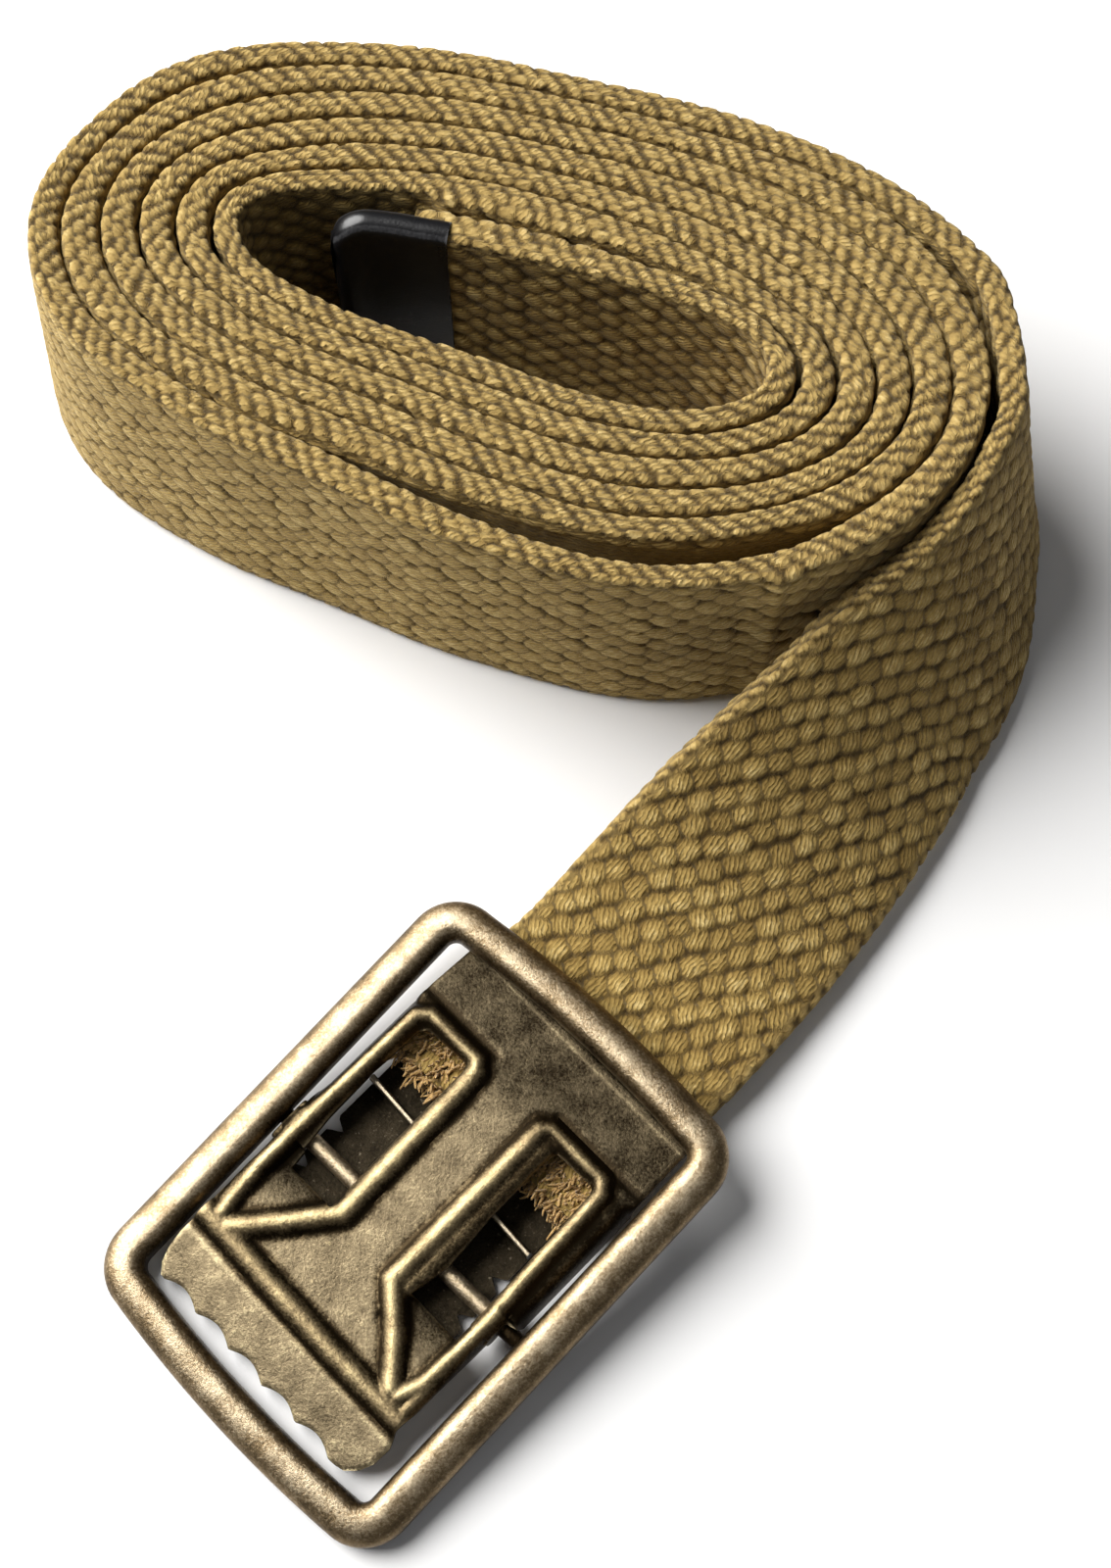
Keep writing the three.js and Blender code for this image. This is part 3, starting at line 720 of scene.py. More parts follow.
class Ribbon:
    """The webbing's middle line, with its width direction and its outer face."""

    def __init__(self):
        sections = webbing_sections()
        self.middle = sections.mean(axis=1)
        steps = np.linalg.norm(np.diff(self.middle, axis=0), axis=1)
        self.known = np.concatenate([[0], np.cumsum(steps)])
        self.length = self.known[-1]
        # A section spreads most along its width, which points up at the inner end and turns
        # with the webbing from there
        self.wide = wide = np.linalg.svd(sections - self.middle[:, None])[2][:, 0]
        wide[0] *= np.sign(wide[0, 2])
        for i in range(1, len(wide)):
            wide[i] *= np.sign(wide[i] @ wide[i - 1])
        self.find_room()

    def at(self, s):
        """Middle, direction along, width direction and outward face at distances s."""
        s = np.asarray(s, float)
        before, after = (follow(self.known, self.middle, s + reach) for reach in (-0.5, 0.5))
        along = unit(after - before)
        across = follow(self.known, self.wide, s)
        across = unit(across - along * np.sum(along * across, axis=1)[:, None])
        return follow(self.known, self.middle, s), along, across, np.cross(across, along)

    def find_room(self):
        """Room for half the thickness, towards the outer and the inner neighbour."""
        # Spots at each step along the webbing, with levels across it, look for places more than
        # apart away along it and near their normal, and leave a gap
        step, levels, apart, near, gap = 3.0, 9, 40, 2.4, 0.04
        self.spots = np.arange(0, self.length, step)
        centre, _, across, face = self.at(self.spots)
        w = np.linspace(-15.4, 15.4, levels)
        places = (centre[:, None] + across[:, None] * w[:, None]).reshape(-1, 3)
        order = np.repeat(np.arange(len(self.spots)), levels)
        in_tip = np.repeat(self.spots < TIP_LENGTH + 1, levels)
        self.room = np.full((2, len(self.spots)), 2 * MOST_HALF_THICK)
        for i in range(len(self.spots)):
            away = np.abs(order - i) * step > apart
            for point in places[order == i]:
                offset = places[away] - point
                height = offset @ face[i]
                beside = np.sqrt(np.maximum(0, np.sum(offset**2, axis=1) - height**2)) < near
                reach = np.abs(height)
                own = np.where(in_tip[away], reach - TIP_HALF_THICK, reach / 2) - gap
                for side, facing in enumerate((height > 0, height < 0)):
                    found = own[beside & facing]
                    if len(found):
                        self.room[side, i] = min(self.room[side, i], found.min())
        self.room = np.min([np.roll(self.room, k, axis=1) for k in (-1, 0, 1)], axis=0)

    def squeeze(self, s):
        """Share of the full thickness that fits, outwards and inwards."""
        fits = np.interp(self.room, *ROOM_TO_THICK)
        for side, stations, share in OPEN_GAPS:
            opened = share * np.interp(self.spots, stations, (0, 1, 1, 0))
            fits[side] += (np.minimum(fits[side], MOST_HALF_THICK) - fits[side]) * opened
        return [np.interp(s, self.spots, fit) / MOST_HALF_THICK for fit in fits]


def around(c):
    """Place and normal on the rounded section, at distance c round it from the upper edge."""
    side = np.where(c < 0, -1.0, 1.0)
    c = np.abs(c)
    up = np.minimum(c, EDGE_FLAT)
    turn = np.clip((c - EDGE_FLAT) / EDGE_RADIUS, 0, math.pi / 2)
    down = np.clip(c - EDGE_FLAT - QUARTER, 0, FACE_FLAT)
    back = np.clip((c - EDGE_FLAT - QUARTER - FACE_FLAT) / EDGE_RADIUS, 0, math.pi / 2)
    under = np.maximum(c - HALF_ROUND + EDGE_FLAT, 0)
    w = FACE_FLAT / 2 + EDGE_RADIUS * (np.cos(turn) - np.sin(back)) - down
    t = up + EDGE_RADIUS * (np.sin(turn) + np.cos(back) - 1) - under
    return w, side * t, np.cos(turn + back), side * np.sin(turn + back)


def bumps(s, c, weave, salt):
    """Height of the highest bump at each place, with its strand count, run and tint.

    Places are s along the webbing and c round its section. Bumps stand where the diagonals i
    and j of the weave cross, and each place looks at the four crossings round it.
    """
    repeat_long, repeat_across, half_long, half_wide, bump_turn, strand_turn = weave
    a = s / repeat_long + c / repeat_across
    b = s / repeat_long - c / repeat_across
    shape = np.broadcast(a, b).shape
    height, strand, run = (np.zeros(shape) for _ in range(3))
    tint = np.full(shape, 0.5)
    turn, steep = math.radians(bump_turn), math.radians(STEEP_SIDE)
    for step_a in (0, 1):
        for step_b in (0, 1):
            i, j = np.floor(a) + step_a, np.floor(b) + step_b
            off_long, off_across, off_turn = (chance(i, j, salt + k) - 0.5 for k in range(3))
            ds = s - (i + j) / 2 * repeat_long + WEAVE_JITTER * repeat_long * off_long
            dc = c - (i - j) / 2 * repeat_across + WEAVE_JITTER * repeat_across * off_across
            own_turn = turn + TURN_JITTER * off_turn
            u = (ds * np.cos(own_turn) + dc * np.sin(own_turn)) / half_long
            v = (dc * np.cos(own_turn) - ds * np.sin(own_turn)) / half_wide
            lean = 1 + BUMP_LEAN * (ds * math.cos(steep) + dc * math.sin(steep)) / half_wide
            size = LEAST_SIZE + SIZE_RANGE * chance(i, j, salt + 3)
            inside = 1 - np.abs(u) ** OUTLINE_POWER - np.abs(v) ** OUTLINE_POWER
            bump = np.maximum(0, inside) ** DOME_POWER * lean * size
            twist = math.radians(strand_turn) + TWIST_JITTER * (chance(i, j, salt + 4) - 0.5)
            phase = (dc * np.cos(twist) - ds * np.sin(twist)) / STRAND_PITCH
            phase = phase + chance(i, j, salt + 5)
            along = ds * np.cos(twist) + dc * np.sin(twist)
            higher = bump > height
            height = np.where(higher, bump, height)
            strand = np.where(higher, phase, strand)
            run = np.where(higher, along, run)
            tint = np.where(higher, chance(i, j, salt + 6), tint)
    return height, strand, run, tint


def weave_at(s, c):
    """The fields of the weave at distances s and places c round the section."""
    from_edge = np.where(np.abs(c) < HALF_ROUND / 2, c, (HALF_ROUND - np.abs(c)) * np.sign(c))
    edge = clamp(EDGE_WEAVE_TO + EDGE_BLEND - np.abs(from_edge))
    on_face = bumps(s, c, FACE_WEAVE, 1)
    on_edge = bumps(s, from_edge, EDGE_WEAVE, 20)
    face_share = clamp(1 + EDGE_BLEND - edge) * (edge < 0.99)
    face_height = on_face[0] ** np.interp(s, *PRESSED) * face_share
    edge_height = on_edge[0] ** EDGE_PRESSED * edge
    chosen = edge_height > face_height
    fields = [np.where(chosen, e, f) for e, f in zip(on_edge[1:], on_face[1:])]
    return {
        "relief": np.maximum(face_height, edge_height),
        **dict(zip(("strand", "run", "tint"), fields)),
        "edge": np.broadcast_to(edge, face_height.shape),
    }


def section_columns(spans):
    """Distances round the section: each span is (to, step), and the first starts at -HALF_ROUND."""
    at = -HALF_ROUND
    places = []
    for to, step in spans:
        count = round((to - at) / step)
        places.extend(at + (to - at) * np.arange(count) / count)
        at = to
    return np.array(places)


def lay_webbing(ribbon, name, start, end, spans, material):
    """One stretch of webbing, with its weave raised wherever the spans are fine."""
    c = section_columns(spans)
    gap = np.diff(np.append(c, HALF_ROUND))
    fine = clamp(1.8 - np.maximum(gap, np.roll(gap, 1)) / FINE_COLUMN)
    s = np.linspace(start, end, round((end - start) / ROW_STEP) + 1)
    centre, _, across, face = ribbon.at(s)
    w, t, normal_w, normal_t = around(c)
    values = weave_at(s[:, None], c)
    plain_fields = {"relief": 0.6, "strand": 1.5 * c, "run": s[:, None], "tint": 0.5}
    for key, plain in plain_fields.items():
        values[key] = values[key] * fine + plain * (1 - fine)
    rise = values["relief"] * BUMP_HEIGHT * (1 - (1 - EDGE_SHARE) * values["edge"])
    swell = SWELL * (wander(s, SWELL_SPACING, 5) - 1)
    outer, inner = ribbon.squeeze(s)
    w_all = w + rise * normal_w + swell[:, None] * (w > 0)
    t_all = t + rise * normal_t
    t_all *= np.where(t_all > 0, outer[:, None], inner[:, None])
    points = centre[:, None] + across[:, None] * w_all[..., None]
    points += face[:, None] * t_all[..., None]
    faces = lattice_faces(len(s), len(c))
    return make_piece(name, points, faces, material, "cotton_webbing", values=values)


def make_webbing(ribbon, material):
    """The webbing in stretches, with fine columns on the edges and faces that are seen."""
    edge = EDGE_WEAVE_TO + 1.0
    edges_only = [(-edge, PLAIN_STEP), (edge, 0.25), (HALF_ROUND, PLAIN_STEP)]
    outer_face = [(-edge, PLAIN_STEP), (edge, 0.27), (HALF_ROUND, 0.38)]
    both_faces = [(-edge, 0.42), (edge, 0.28), (HALF_ROUND, 0.35)]
    inner_face = [
        (-HALF_ROUND + 1.5, 0.8), (-edge, 0.36), (edge, 0.26), (HALF_ROUND, PLAIN_STEP),
    ]
    end = ribbon.length - CUT_BACK - 0.6
    first, *_ = [lay_webbing(ribbon, *stretch, material) for stretch in (
        ("webbing_inner_turn", TAIL_FROM, INNER_TURN_TO, inner_face),
        ("webbing_early_turns", INNER_TURN_TO, MIDDLE_TO, edges_only),
        ("webbing_later_turns", MIDDLE_TO, OUTER_FROM, edges_only),
        ("webbing_outer_turn_rear", OUTER_FROM, OUTER_HALF, outer_face),
        ("webbing_outer_turn_front", OUTER_HALF, STRAP_FROM, outer_face),
        ("webbing_strap", STRAP_FROM, end, both_faces),
    )]
    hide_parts("webbing")


# Tip

def rounded_section(half_w, half_t, radius, per_corner=6):
    """Points and normals of a rounded rectangle in width and thickness."""
    turn = (np.arange(4)[:, None] + np.linspace(0, 1, per_corner)).ravel() * math.pi / 2
    normals = np.stack([np.cos(turn), np.sin(turn)], axis=1)
    centres = np.repeat([(1, 1), (-1, 1), (-1, -1), (1, -1)], per_corner, axis=0)
    return centres * (half_w - radius, half_t - radius) + radius * normals, normals


def make_tip(ribbon, material):
    """Folded metal cap with a rounded closed end and a thin open rim."""
    end_run, end_rows, body_from, step = 5.0, 22, 4.6, 0.6
    run = np.concatenate([
        TIP_START + end_run * (1 - np.cos(np.linspace(0.0, math.pi / 2, end_rows))),
        np.arange(body_from, TIP_LENGTH, step),
        [TIP_LENGTH, TIP_LENGTH, TIP_LENGTH - TIP_INSIDE],
    ])
    shrink = np.zeros(len(run))
    shrink[-2:] = TIP_WALL
    rows, wear_and_painted_light = [], []
    centre, _, across, face = ribbon.at(run)
    for k, s in enumerate(run):
        before = max(0.0, TIP_CORNER - (s - TIP_START))
        half_w = TIP_HALF_WIDTH - TIP_CORNER + math.sqrt(TIP_CORNER**2 - before**2) - shrink[k]
        close = min(1.0, (s - TIP_START) / TIP_EDGE)
        half_t = TIP_HALF_THICK - TIP_EDGE * (1 - math.sqrt(1 - (1 - close)**2)) - shrink[k]
        spots, normals = rounded_section(half_w, half_t, TIP_EDGE if shrink[k] == 0 else 0.3)
        rows.append(centre[k] + spots[:, :1] * across[k] + spots[:, 1:] * face[k])
        # Worn, with a painted highlight, where the section turns, and worn all along the rim
        wear_and_painted_light.append(np.abs(normals).min(axis=1) * 1.1 + 0.35 * (s > TIP_LENGTH - 0.4))
    columns = len(rows[0])
    points = np.vstack([*rows, rows[0].mean(axis=0)])
    faces = lattice_faces(len(rows), columns)
    cap = [(len(points) - 1, (j + 1) % columns, j) for j in range(columns)]
    triangles = np.vstack([triangles_of(faces), cap])
    values = {"wear_and_painted_light": np.append(wear_and_painted_light, 0.3)}
    make_piece(
        "tip_cap", points, triangles, material, "black_metal", "belt_tip", values=values, sharp=50,
    )


# Buckle

def at_buckle(local):
    """Points of the buckle's own axes in the frame."""
    turn, rise = math.radians(BUCKLE_TURN), math.radians(BUCKLE_RISE)
    level = math.cos(rise)
    x = np.array([math.cos(turn) * level, math.sin(turn) * level, math.sin(rise)])
    y = np.array([-math.sin(turn), math.cos(turn), 0.0])
    axes = np.array([x, y, np.cross(x, y)])
    return np.asarray(local) @ axes + BUCKLE_CENTRE


def frame_line():
    """Centre line of the ring in plan, with its bowed short bars and round corners."""
    hx, hy = FRAME_HALF_X - FRAME_CORNER, FRAME_HALF_Y - FRAME_CORNER
    points = []
    for sx, sy, start in ((1, 1, 0), (-1, 1, 90), (-1, -1, 180), (1, -1, 270)):
        for i in range(FRAME_CORNER_STEPS + 1):
            a = math.radians(start + 90 * i / FRAME_CORNER_STEPS)
            cy = sy * (hy + sx * FRAME_TAPER / 2)
            points.append((sx * hx + FRAME_CORNER * math.cos(a), cy + FRAME_CORNER * math.sin(a)))
        for i in range(1, FRAME_SIDE_STEPS):
            u = 1 - 2 * i / FRAME_SIDE_STEPS
            if sx * sy > 0:
                x = sx * hx * u
                points.append((x, sy * (FRAME_HALF_Y + FRAME_TAPER * x / hx / 2)))
            else:
                points.append((sx * (FRAME_HALF_X + FRAME_BOW * (1 - u * u)), sy * hy * u))
    line = np.array(points)
    line[:, 0] *= np.where(line[:, 0] < 0, 1 - FRAME_SKEW * line[:, 1], 1)
    line[:, 1] += FRAME_CENTRE_Y
    return line


def bar_section():
    """Points of the ring's section, outwards and up, and how rubbed each one is, its inner side
    left dark as painted shade.
    """
    half = BAR_WIDTH / 2
    spots, wear_and_painted_light = [], []
    for side, start in ((-1, 180), (1, 270)):
        for i in range(BAR_FOOT_STEPS + 1):
            a = math.radians(start + 90 * i / BAR_FOOT_STEPS)
            out = side * (half - BAR_FOOT) + BAR_FOOT * math.cos(a)
            spots.append((out, BAR_BOTTOM + BAR_FOOT * (1 + math.sin(a))))
            wear_and_painted_light.append(0.15)
    # The dome is rubbed on its top, and a little on the outside; its inner side stays dark as
    # painted shade
    for i in range(BAR_DOME_STEPS + 1):
        a = math.radians(180 * i / BAR_DOME_STEPS)
        reach = half - BAR_CREST if a < math.pi / 2 else half + BAR_CREST
        up = BAR_WIDEST + (BAR_TOP - BAR_WIDEST) * math.sin(a)
        spots.append((BAR_CREST + reach * math.cos(a), up))
        wear_and_painted_light.append(0.12 + 0.6 * math.sin(a) ** 2.5 + 0.25 * max(0.0, math.cos(a)) ** 3)
    return np.array(spots), np.array(wear_and_painted_light)


def cross_bar():
    """Points, quads and wear of the cross bar, whose ends are slightly rounded and painted dark as
    shade.
    """
    start, end = FRAME_CENTRE_Y - FRAME_HALF_Y, FRAME_CENTRE_Y + FRAME_HALF_Y
    rows = [(start + inset, share, wear_and_painted_light) for inset, share, wear_and_painted_light in PIVOT_ROWS]
    rows += [(end - inset, share, wear_and_painted_light) for inset, share, wear_and_painted_light in PIVOT_ROWS[::-1]]
    y, share, wear_and_painted_light = (np.repeat(column, PIVOT_SIDES) for column in zip(*rows))
    angle = np.tile(full_turn(PIVOT_SIDES), len(rows))
    radius = PIVOT_RADIUS * share
    points = np.stack([radius * np.sin(angle), y, radius * np.cos(angle)], axis=1)
    faces = lattice_faces(len(rows), PIVOT_SIDES)
    return points + (PIVOT_X, 0, PIVOT_Z), faces, wear_and_painted_light


def make_frame(material):
    """Cast ring with a domed top, and the cross bar that the plate swings on."""
    line = frame_line()
    out = np.roll(line, -1, axis=0) - np.roll(line, 1, axis=0)
    out = unit(np.stack([out[:, 1], -out[:, 0]], axis=1))
    spots, wear_and_painted_light = bar_section()
    rows = np.empty((len(line), len(spots), 3))
    rows[..., :2] = line[:, None] + out[:, None] * spots[:, :1]
    rows[..., 2] = spots[:, 1]
    count = len(line) * len(spots)
    ring_faces = lattice_faces(len(line) + 1, len(spots)) % count
    bar, bar_faces, bar_wear_and_painted_light = cross_bar()
    points = at_buckle(np.vstack([*rows, bar]))
    faces = np.vstack([ring_faces, bar_faces + count])
    values = {"wear_and_painted_light": np.append(np.tile(wear_and_painted_light, len(line)), bar_wear_and_painted_light)}
    make_piece(
        "frame_ring", points, faces, material, "antique_brass", "buckle_frame",
        body="frame", values=values,
    )


def to_segments(x, y, path):
    """Distance of each place to a row of joined segments."""
    nearest = np.full(x.shape, 1e9)
    for (ax, ay), (bx, by) in zip(path[:-1], path[1:]):
        dx, dy = bx - ax, by - ay
        t = clamp(((x - ax) * dx + (y - ay) * dy) / (dx * dx + dy * dy))
        nearest = np.minimum(nearest, np.hypot(x - ax - t * dx, y - ay - t * dy))
    return nearest


def depth_in(x, y, outline):
    """Distance to a closed outline, positive inside it."""
    closed = [*outline, outline[0]]
    inside = np.zeros(x.shape, bool)
    for (ax, ay), (bx, by) in zip(closed[:-1], closed[1:]):
        if ay != by:
            inside ^= ((ay > y) != (by > y)) & (x < ax + (bx - ax) * (y - ay) / (by - ay))
    return np.where(inside, 1, -1) * to_segments(x, y, closed)


def plate_outline():
    """Plan outline of the plate, with a scalloped lip."""
    first = SCALLOP_COUNT * SCALLOP_PITCH / 2
    scallops = []
    for i in range(SCALLOP_COUNT * SCALLOP_STEPS):
        u = i / SCALLOP_STEPS
        x = LIP_X + SCALLOP_DEPTH * math.sin(math.pi * (u % 1))
        scallops.append((x, first - SCALLOP_PITCH * u))
    lip = [*LIP_LEFT_END, *scallops, (LIP_X, -first), *LIP_RIGHT_END]
    return [*LEFT_SIDE, *lip, *RIGHT_SIDE]


def plate_fields(x, y):
    """Inside depth, top height, wear with painted shade and highlights, and flatness of the plate
    at plan places.
    """
    rim = depth_in(x, y, plate_outline())
    inside = rim
    for window in WINDOWS:
        inside = np.minimum(inside, -depth_in(x, y, window))
    base = rounded_bends(x, PLATE_BENDS, PLATE_BEND_REACH)
    ridge, off_rail = np.zeros(x.shape), np.full(x.shape, 9.0)
    for path, half, rise in RAILS:
        away = to_segments(x, y, path)
        ridge = np.maximum(ridge, rise * np.maximum(0, 1 - (away / half) ** 2) ** RAIL_POWER)
        off_rail = np.minimum(off_rail, away - half)
    pocket = (y > LEFT_POCKET_Y) | (y < RIGHT_POCKET_Y)
    slope = clamp((x - FLAP_FROM_X) / (FLAP_END_X - FLAP_FROM_X)) ** FLAP_POWER * pocket
    slope = slope * clamp((off_rail + 0.5) / 0.7) * (x < FLAP_LAST_X)
    sides = (FLANGE_WIDTH, FLANGE_DROP, FLANGE_FADE, FLANGE_START)
    width, drop, fade, start = (np.where(y > 0, *pair) for pair in sides)
    bent = clamp(fade * x + start) * clamp((FAR_GROOVE_X - x) / 2.0)
    over = clamp(1 - rim / width) * (np.abs(y) > FLANGE_FROM_Y) * bent
    flange = drop * (1 - np.sqrt(np.maximum(0, 1 - over**2)))
    rolled = ROLLED_DROP * clamp(1 - inside / ROLLED_WIDTH) ** 2
    groove = bell(x, FAR_GROOVE_X, GROOVE_HALF) * clamp(np.abs(y) - GROOVE_FROM_Y)
    height = base + ridge - FLAP_DROP * slope - flange - rolled - GROOVE_DEPTH * groove
    recess = bell(off_rail, RECESS_OFF, RECESS_HALF)
    on_rail = RAIL_FOOT_WEAR + RAIL_TOP_WEAR * ridge**4
    wear_and_painted_light = np.where(off_rail < 0, on_rail, FLAT_WEAR) - RECESS_TARNISH * recess
    # Painted shade on the flaps and flanges, and tarnish in the groove
    wear_and_painted_light = wear_and_painted_light - FLAP_SHADE * slope - FLANGE_SHADE * over - GROOVE_TARNISH * groove
    # The far part grows darker towards the far end
    wear_and_painted_light = wear_and_painted_light - FAR_DARKENING * clamp((x - FAR_DARKENING_X) / FAR_DARKENING_RUN)
    on_rim = clamp(1 - inside / RIM_WIDTH) * (x < RIM_WEAR_TO_X) * (over < 0.1)
    wear_and_painted_light = wear_and_painted_light + RIM_WEAR * on_rim
    # Creases gain rubbing and a painted highlight along the bend
    for crease_x, half, rub in CREASES:
        wear_and_painted_light = wear_and_painted_light + rub * bell(x, crease_x, half)
    return inside, height, wear_and_painted_light, clamp(off_rail / 0.8)


def clipped_cells(depth):
    """Triangles of the grid part with positive depth, its crossing points and its border."""
    rows, columns = depth.shape
    crossings, triangles, border = {}, [], []
    inside = (depth > 0).ravel()
    for i, j in np.ndindex(rows - 1, columns - 1):
        k = i * columns + j
        ring = (k, k + columns, k + columns + 1, k + 1)
        polygon, leaving, entering = [], [], []
        for p, q in zip(ring, (*ring[1:], k)):
            if inside[p]:
                polygon.append(p)
            if inside[p] != inside[q]:
                key = (min(p, q), max(p, q))
                crossings.setdefault(key, rows * columns + len(crossings))
                polygon.append(crossings[key])
                (leaving if inside[p] else entering).append(crossings[key])
        triangles += [(polygon[0], p, q) for p, q in zip(polygon[1:], polygon[2:])]
        if len(leaving) == 1:
            border.append((leaving[0], entering[0]))
    return np.array(triangles), list(crossings), np.array(border)


def make_plate(material):
    """Stamped plate with two windows, raised rails, bent flanges and a scalloped lip.

    A plan grid is clipped to the outline and the windows, raised to the height of the top face,
    and closed with a lower face and a wall along its border.
    """
    x, y = np.meshgrid(*(np.arange(*span, PLATE_GRID) for span in PLATE_AREA), indexing="ij")
    depth = plate_fields(x, y)[0]
    triangles, crossings, border = clipped_cells(depth)
    near, far = np.array(crossings).T
    share = depth.flat[near] / (depth.flat[near] - depth.flat[far])
    all_x, all_y = (
        np.append(grid.ravel(), grid.flat[near] * (1 - share) + grid.flat[far] * share)
        for grid in (x, y)
    )
    used, triangles = np.unique(triangles, return_inverse=True)
    triangles = triangles.reshape(-1, 3)
    border = np.searchsorted(used, border)
    px, py = all_x[used], all_y[used]
    _, top, wear_and_painted_light, flat = plate_fields(px, py)
    py = py + PLATE_CENTRE_Y
    turn = math.radians(PLATE_TURN)
    cos, sin = math.cos(turn), math.sin(turn)
    plan = np.stack([px * cos - py * sin, px * sin + py * cos], axis=1)
    n = len(used)
    points = np.vstack([np.column_stack([plan, z]) for z in (top, top - PLATE_THICK)])
    wall = np.hstack([border, border[:, ::-1] + n])
    faces = np.vstack([triangles, triangles[:, ::-1] + n, triangles_of(wall)[:, ::-1]])
    values = {"wear_and_painted_light": np.append(wear_and_painted_light, np.full(n, 0.1)), "flat": np.append(flat, np.zeros(n))}
    make_piece(
        "plate_sheet", at_buckle(points), faces, material, "antique_brass", "buckle_plate",
        values=values, sharp=48,
    )


def make_ears(material):
    """Two hinge ears below the plate's sides, with the cross bar through them."""
    half = EAR_LENGTH / 2
    angle = full_turn(EAR_SIDES)
    direction = np.stack([np.sin(angle), np.cos(angle)], axis=1)
    down, up = EAR_DROP + PIVOT_Z, PLATE_TOP - EAR_BELOW_TOP - PIVOT_Z
    reach = np.full(EAR_SIDES, 1e9)
    for axis, sign, bound in ((0, 1, half), (0, -1, half), (1, 1, up), (1, -1, down)):
        reach = np.minimum(reach, bound / np.maximum(direction[:, axis] * sign, 1e-6))
    reach = np.where(direction[:, 1] < -0.3, np.minimum(reach, half * EAR_CORNER), reach)
    outer, inner = direction * reach[:, None], direction * (PIVOT_RADIUS + PIVOT_CLEARANCE)
    bevel = outer * EAR_BEVEL
    thick = PLATE_THICK / 2
    # From the bore over the rim and back: points of a loop, its place on Y and its wear, kept low
    # so that the ears are dark as painted shade below the plate
    loops = (
        (inner, -thick, 0.0), (bevel, -thick, 0.1), (outer, -thick * 0.6, 0.2),
        (outer, thick * 0.6, 0.2), (bevel, thick, 0.1), (inner, thick, 0.0), (inner, -thick, 0.0),
    )
    faces = lattice_faces(len(loops), EAR_SIDES)
    values = {"wear_and_painted_light": np.repeat([rub for _, _, rub in loops], EAR_SIDES)}
    for name, side in (("ear_left", 1), ("ear_right", -1)):
        middle = PLATE_CENTRE_Y + side * (EAR_OUT - thick)
        points = at_buckle([
            (x + PIVOT_X, middle + y, z + PIVOT_Z) for ring, y, _ in loops for x, z in ring
        ])
        make_piece(name, points, faces, material, "antique_brass", values=values, sharp=40)


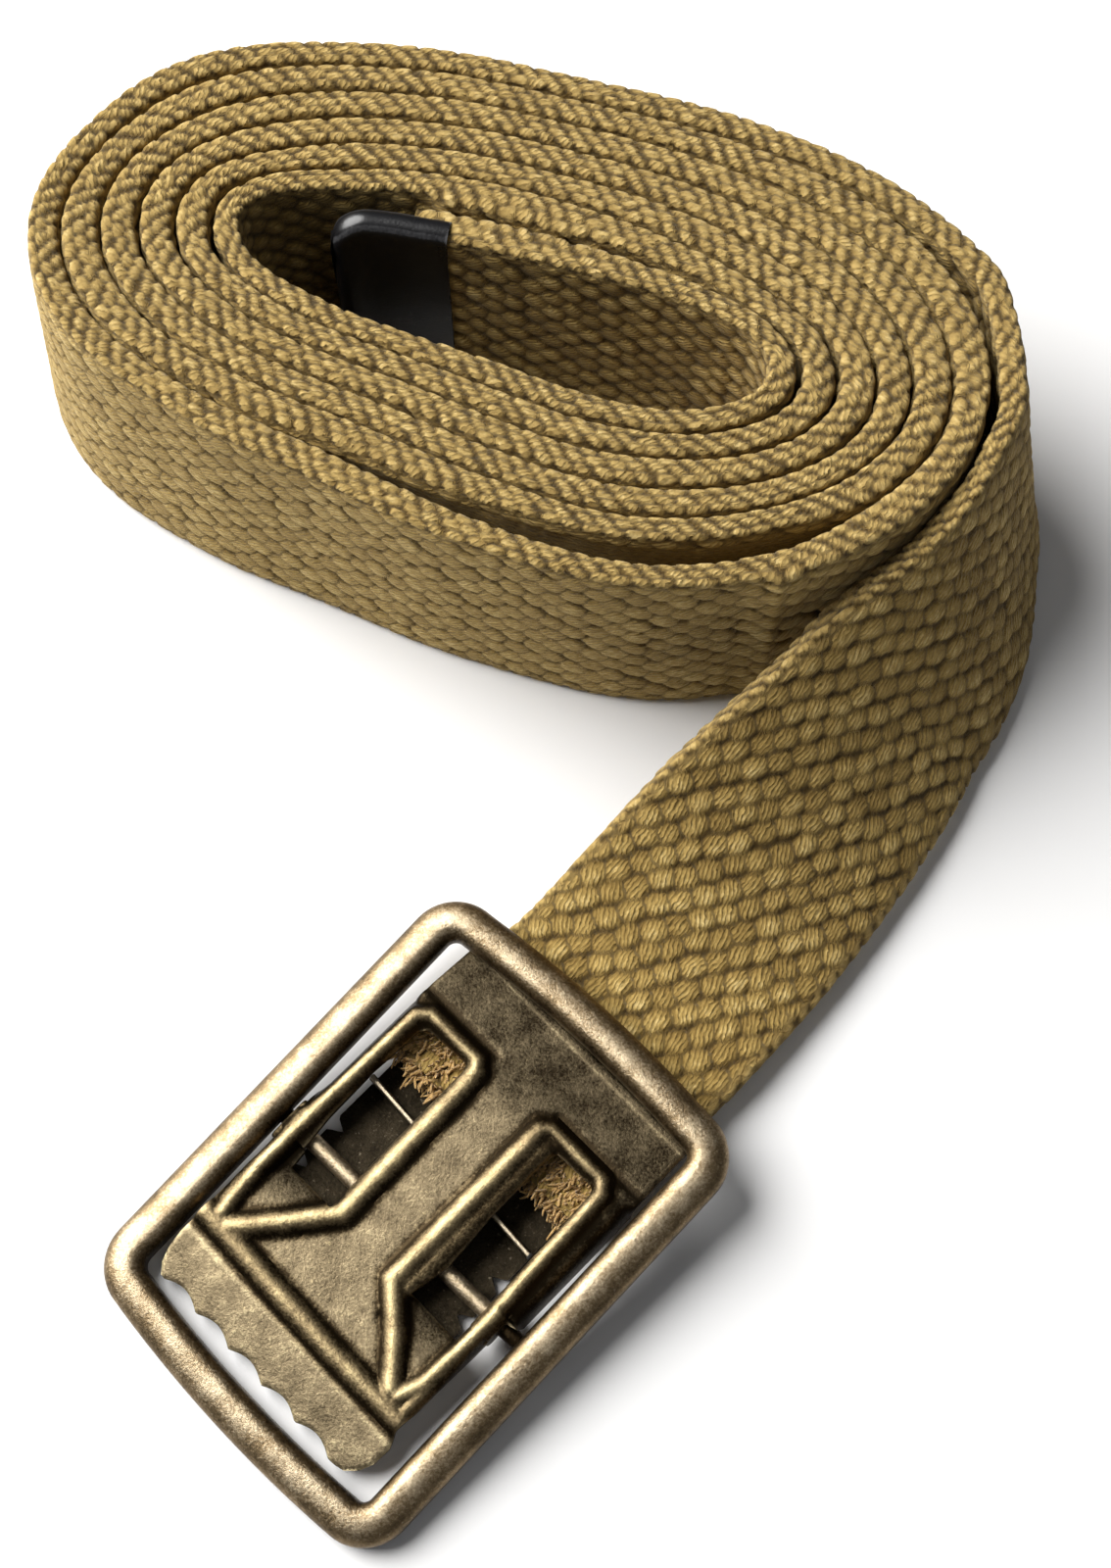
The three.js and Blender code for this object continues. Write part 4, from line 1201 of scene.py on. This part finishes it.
def make_clip(material):
    """Bent sheet below the plate, notched beside the cross bar, with an upturned jaw."""
    x = np.arange(CLIP_PATH[0][0], CLIP_PATH[-1][0] + 0.01, CLIP_STEP)
    mid = rounded_bends(x, CLIP_PATH, CLIP_BEND_REACH)
    half = np.full(len(x), CLIP_HALF_WIDTH)
    for at in CLIP_NOTCHES:
        half -= CLIP_NOTCH_DEPTH * clamp(1 - np.abs(x - at) / CLIP_NOTCH_HALF)
    levels = np.linspace(-1, 1, CLIP_LEVELS)
    levels = np.concatenate([levels, levels[::-1]])
    thick = CLIP_THICK / 2
    columns = len(levels)
    count = len(x) * columns
    sheet = np.empty((len(x), columns, 3))
    sheet[..., 0] = x[:, None]
    sheet[..., 1] = PLATE_CENTRE_Y + half[:, None] * levels
    sheet[..., 2] = mid[:, None] + np.repeat([thick, -thick], CLIP_LEVELS)
    faces = triangles_of(lattice_faces(len(x), columns))[:, ::-1]
    caps = []
    for j in range(CLIP_LEVELS - 1):
        quad = [j, j + 1, columns - 2 - j, columns - 1 - j]
        caps += [quad, [count - columns + v for v in quad[::-1]]]
    jaw = [
        (JAW_X + sx * thick * share + JAW_SKEW * sy, PLATE_CENTRE_Y + sy * CLIP_HALF_WIDTH, z)
        for z, share, _ in JAW_ROWS for sx, sy in CORNERS
    ]
    jaw_ends = [(0, 3, 2, 1), range(len(jaw) - 4, len(jaw))]
    jaw_faces = np.vstack([lattice_faces(len(JAW_ROWS), 4), jaw_ends])
    faces = np.vstack([faces, triangles_of(np.vstack([caps, jaw_faces + count]))])
    jaw_wear_and_highlight = np.repeat([rub for _, _, rub in JAW_ROWS], 4)
    values = {"wear_and_painted_light": np.append(np.full(count, CLIP_WEAR), jaw_wear_and_highlight)}
    points = at_buckle(np.vstack([*sheet, jaw]))
    make_piece(
        "clip_sheet", points, faces, material, "dark_brass", "webbing_clip",
        values=values, sharp=35,
    )


def make_frayed_end(ribbon, material):
    """Brush of loose yarns over the cut end of the webbing, seen through the windows."""
    rng = np.random.default_rng(7)
    count = BRUSH_COUNT
    s = ribbon.length - CUT_BACK - rng.uniform(*BRUSH_BACK, count)
    centre, along, across, face = ribbon.at(s)
    w = rng.uniform(-BRUSH_HALF_WIDTH, BRUSH_HALF_WIDTH, count)
    root = centre + across * w[:, None] + face * rng.uniform(*BRUSH_ABOVE, count)[:, None]
    lift = rng.uniform(*BRUSH_LIFT, count)[:, None]
    way = unit(along + face * lift + across * rng.normal(0, BRUSH_SPREAD, count)[:, None])
    bend = rng.normal(0, BRUSH_BEND, (count, 3)) + face * BRUSH_DROOP
    length = rng.uniform(*YARN_LENGTH, count)
    u = np.linspace(0, 1, YARN_STEPS)
    path = root[:, None] + way[:, None] * (length[:, None] * u)[..., None]
    path = path + bend[:, None] * (length[:, None] * 0.5 * u**2)[..., None]
    side = unit(np.cross(way, rng.normal(0, 1, (count, 3))))
    other = np.cross(way, side)
    radius = rng.uniform(*YARN_RADIUS, count)[:, None] * (1 - 0.4 * u**4)
    angle = full_turn(YARN_SIDES)[:, None]
    ring = side[:, None, None] * np.cos(angle) + other[:, None, None] * np.sin(angle)
    points = path[:, :, None] + ring * radius[..., None, None]
    first = np.arange(count)[:, None, None] * YARN_STEPS * YARN_SIDES
    faces = (lattice_faces(YARN_STEPS, YARN_SIDES) + first).reshape(-1, 4)
    make_piece("cut_end_yarns", points, faces, material, "cotton_webbing")


ribbon = Ribbon()
make_webbing(ribbon, cotton())
make_tip(ribbon, black_enamel())
make_frayed_end(ribbon, yarn())

golden = brass("golden_brass", GOLDEN, 0.42)
make_frame(brass("antique_brass", ANTIQUE, 0.4))
make_plate(golden)
make_ears(golden)
make_clip(brass("dark_brass", TARNISH_AND_SHADE, 0.42))
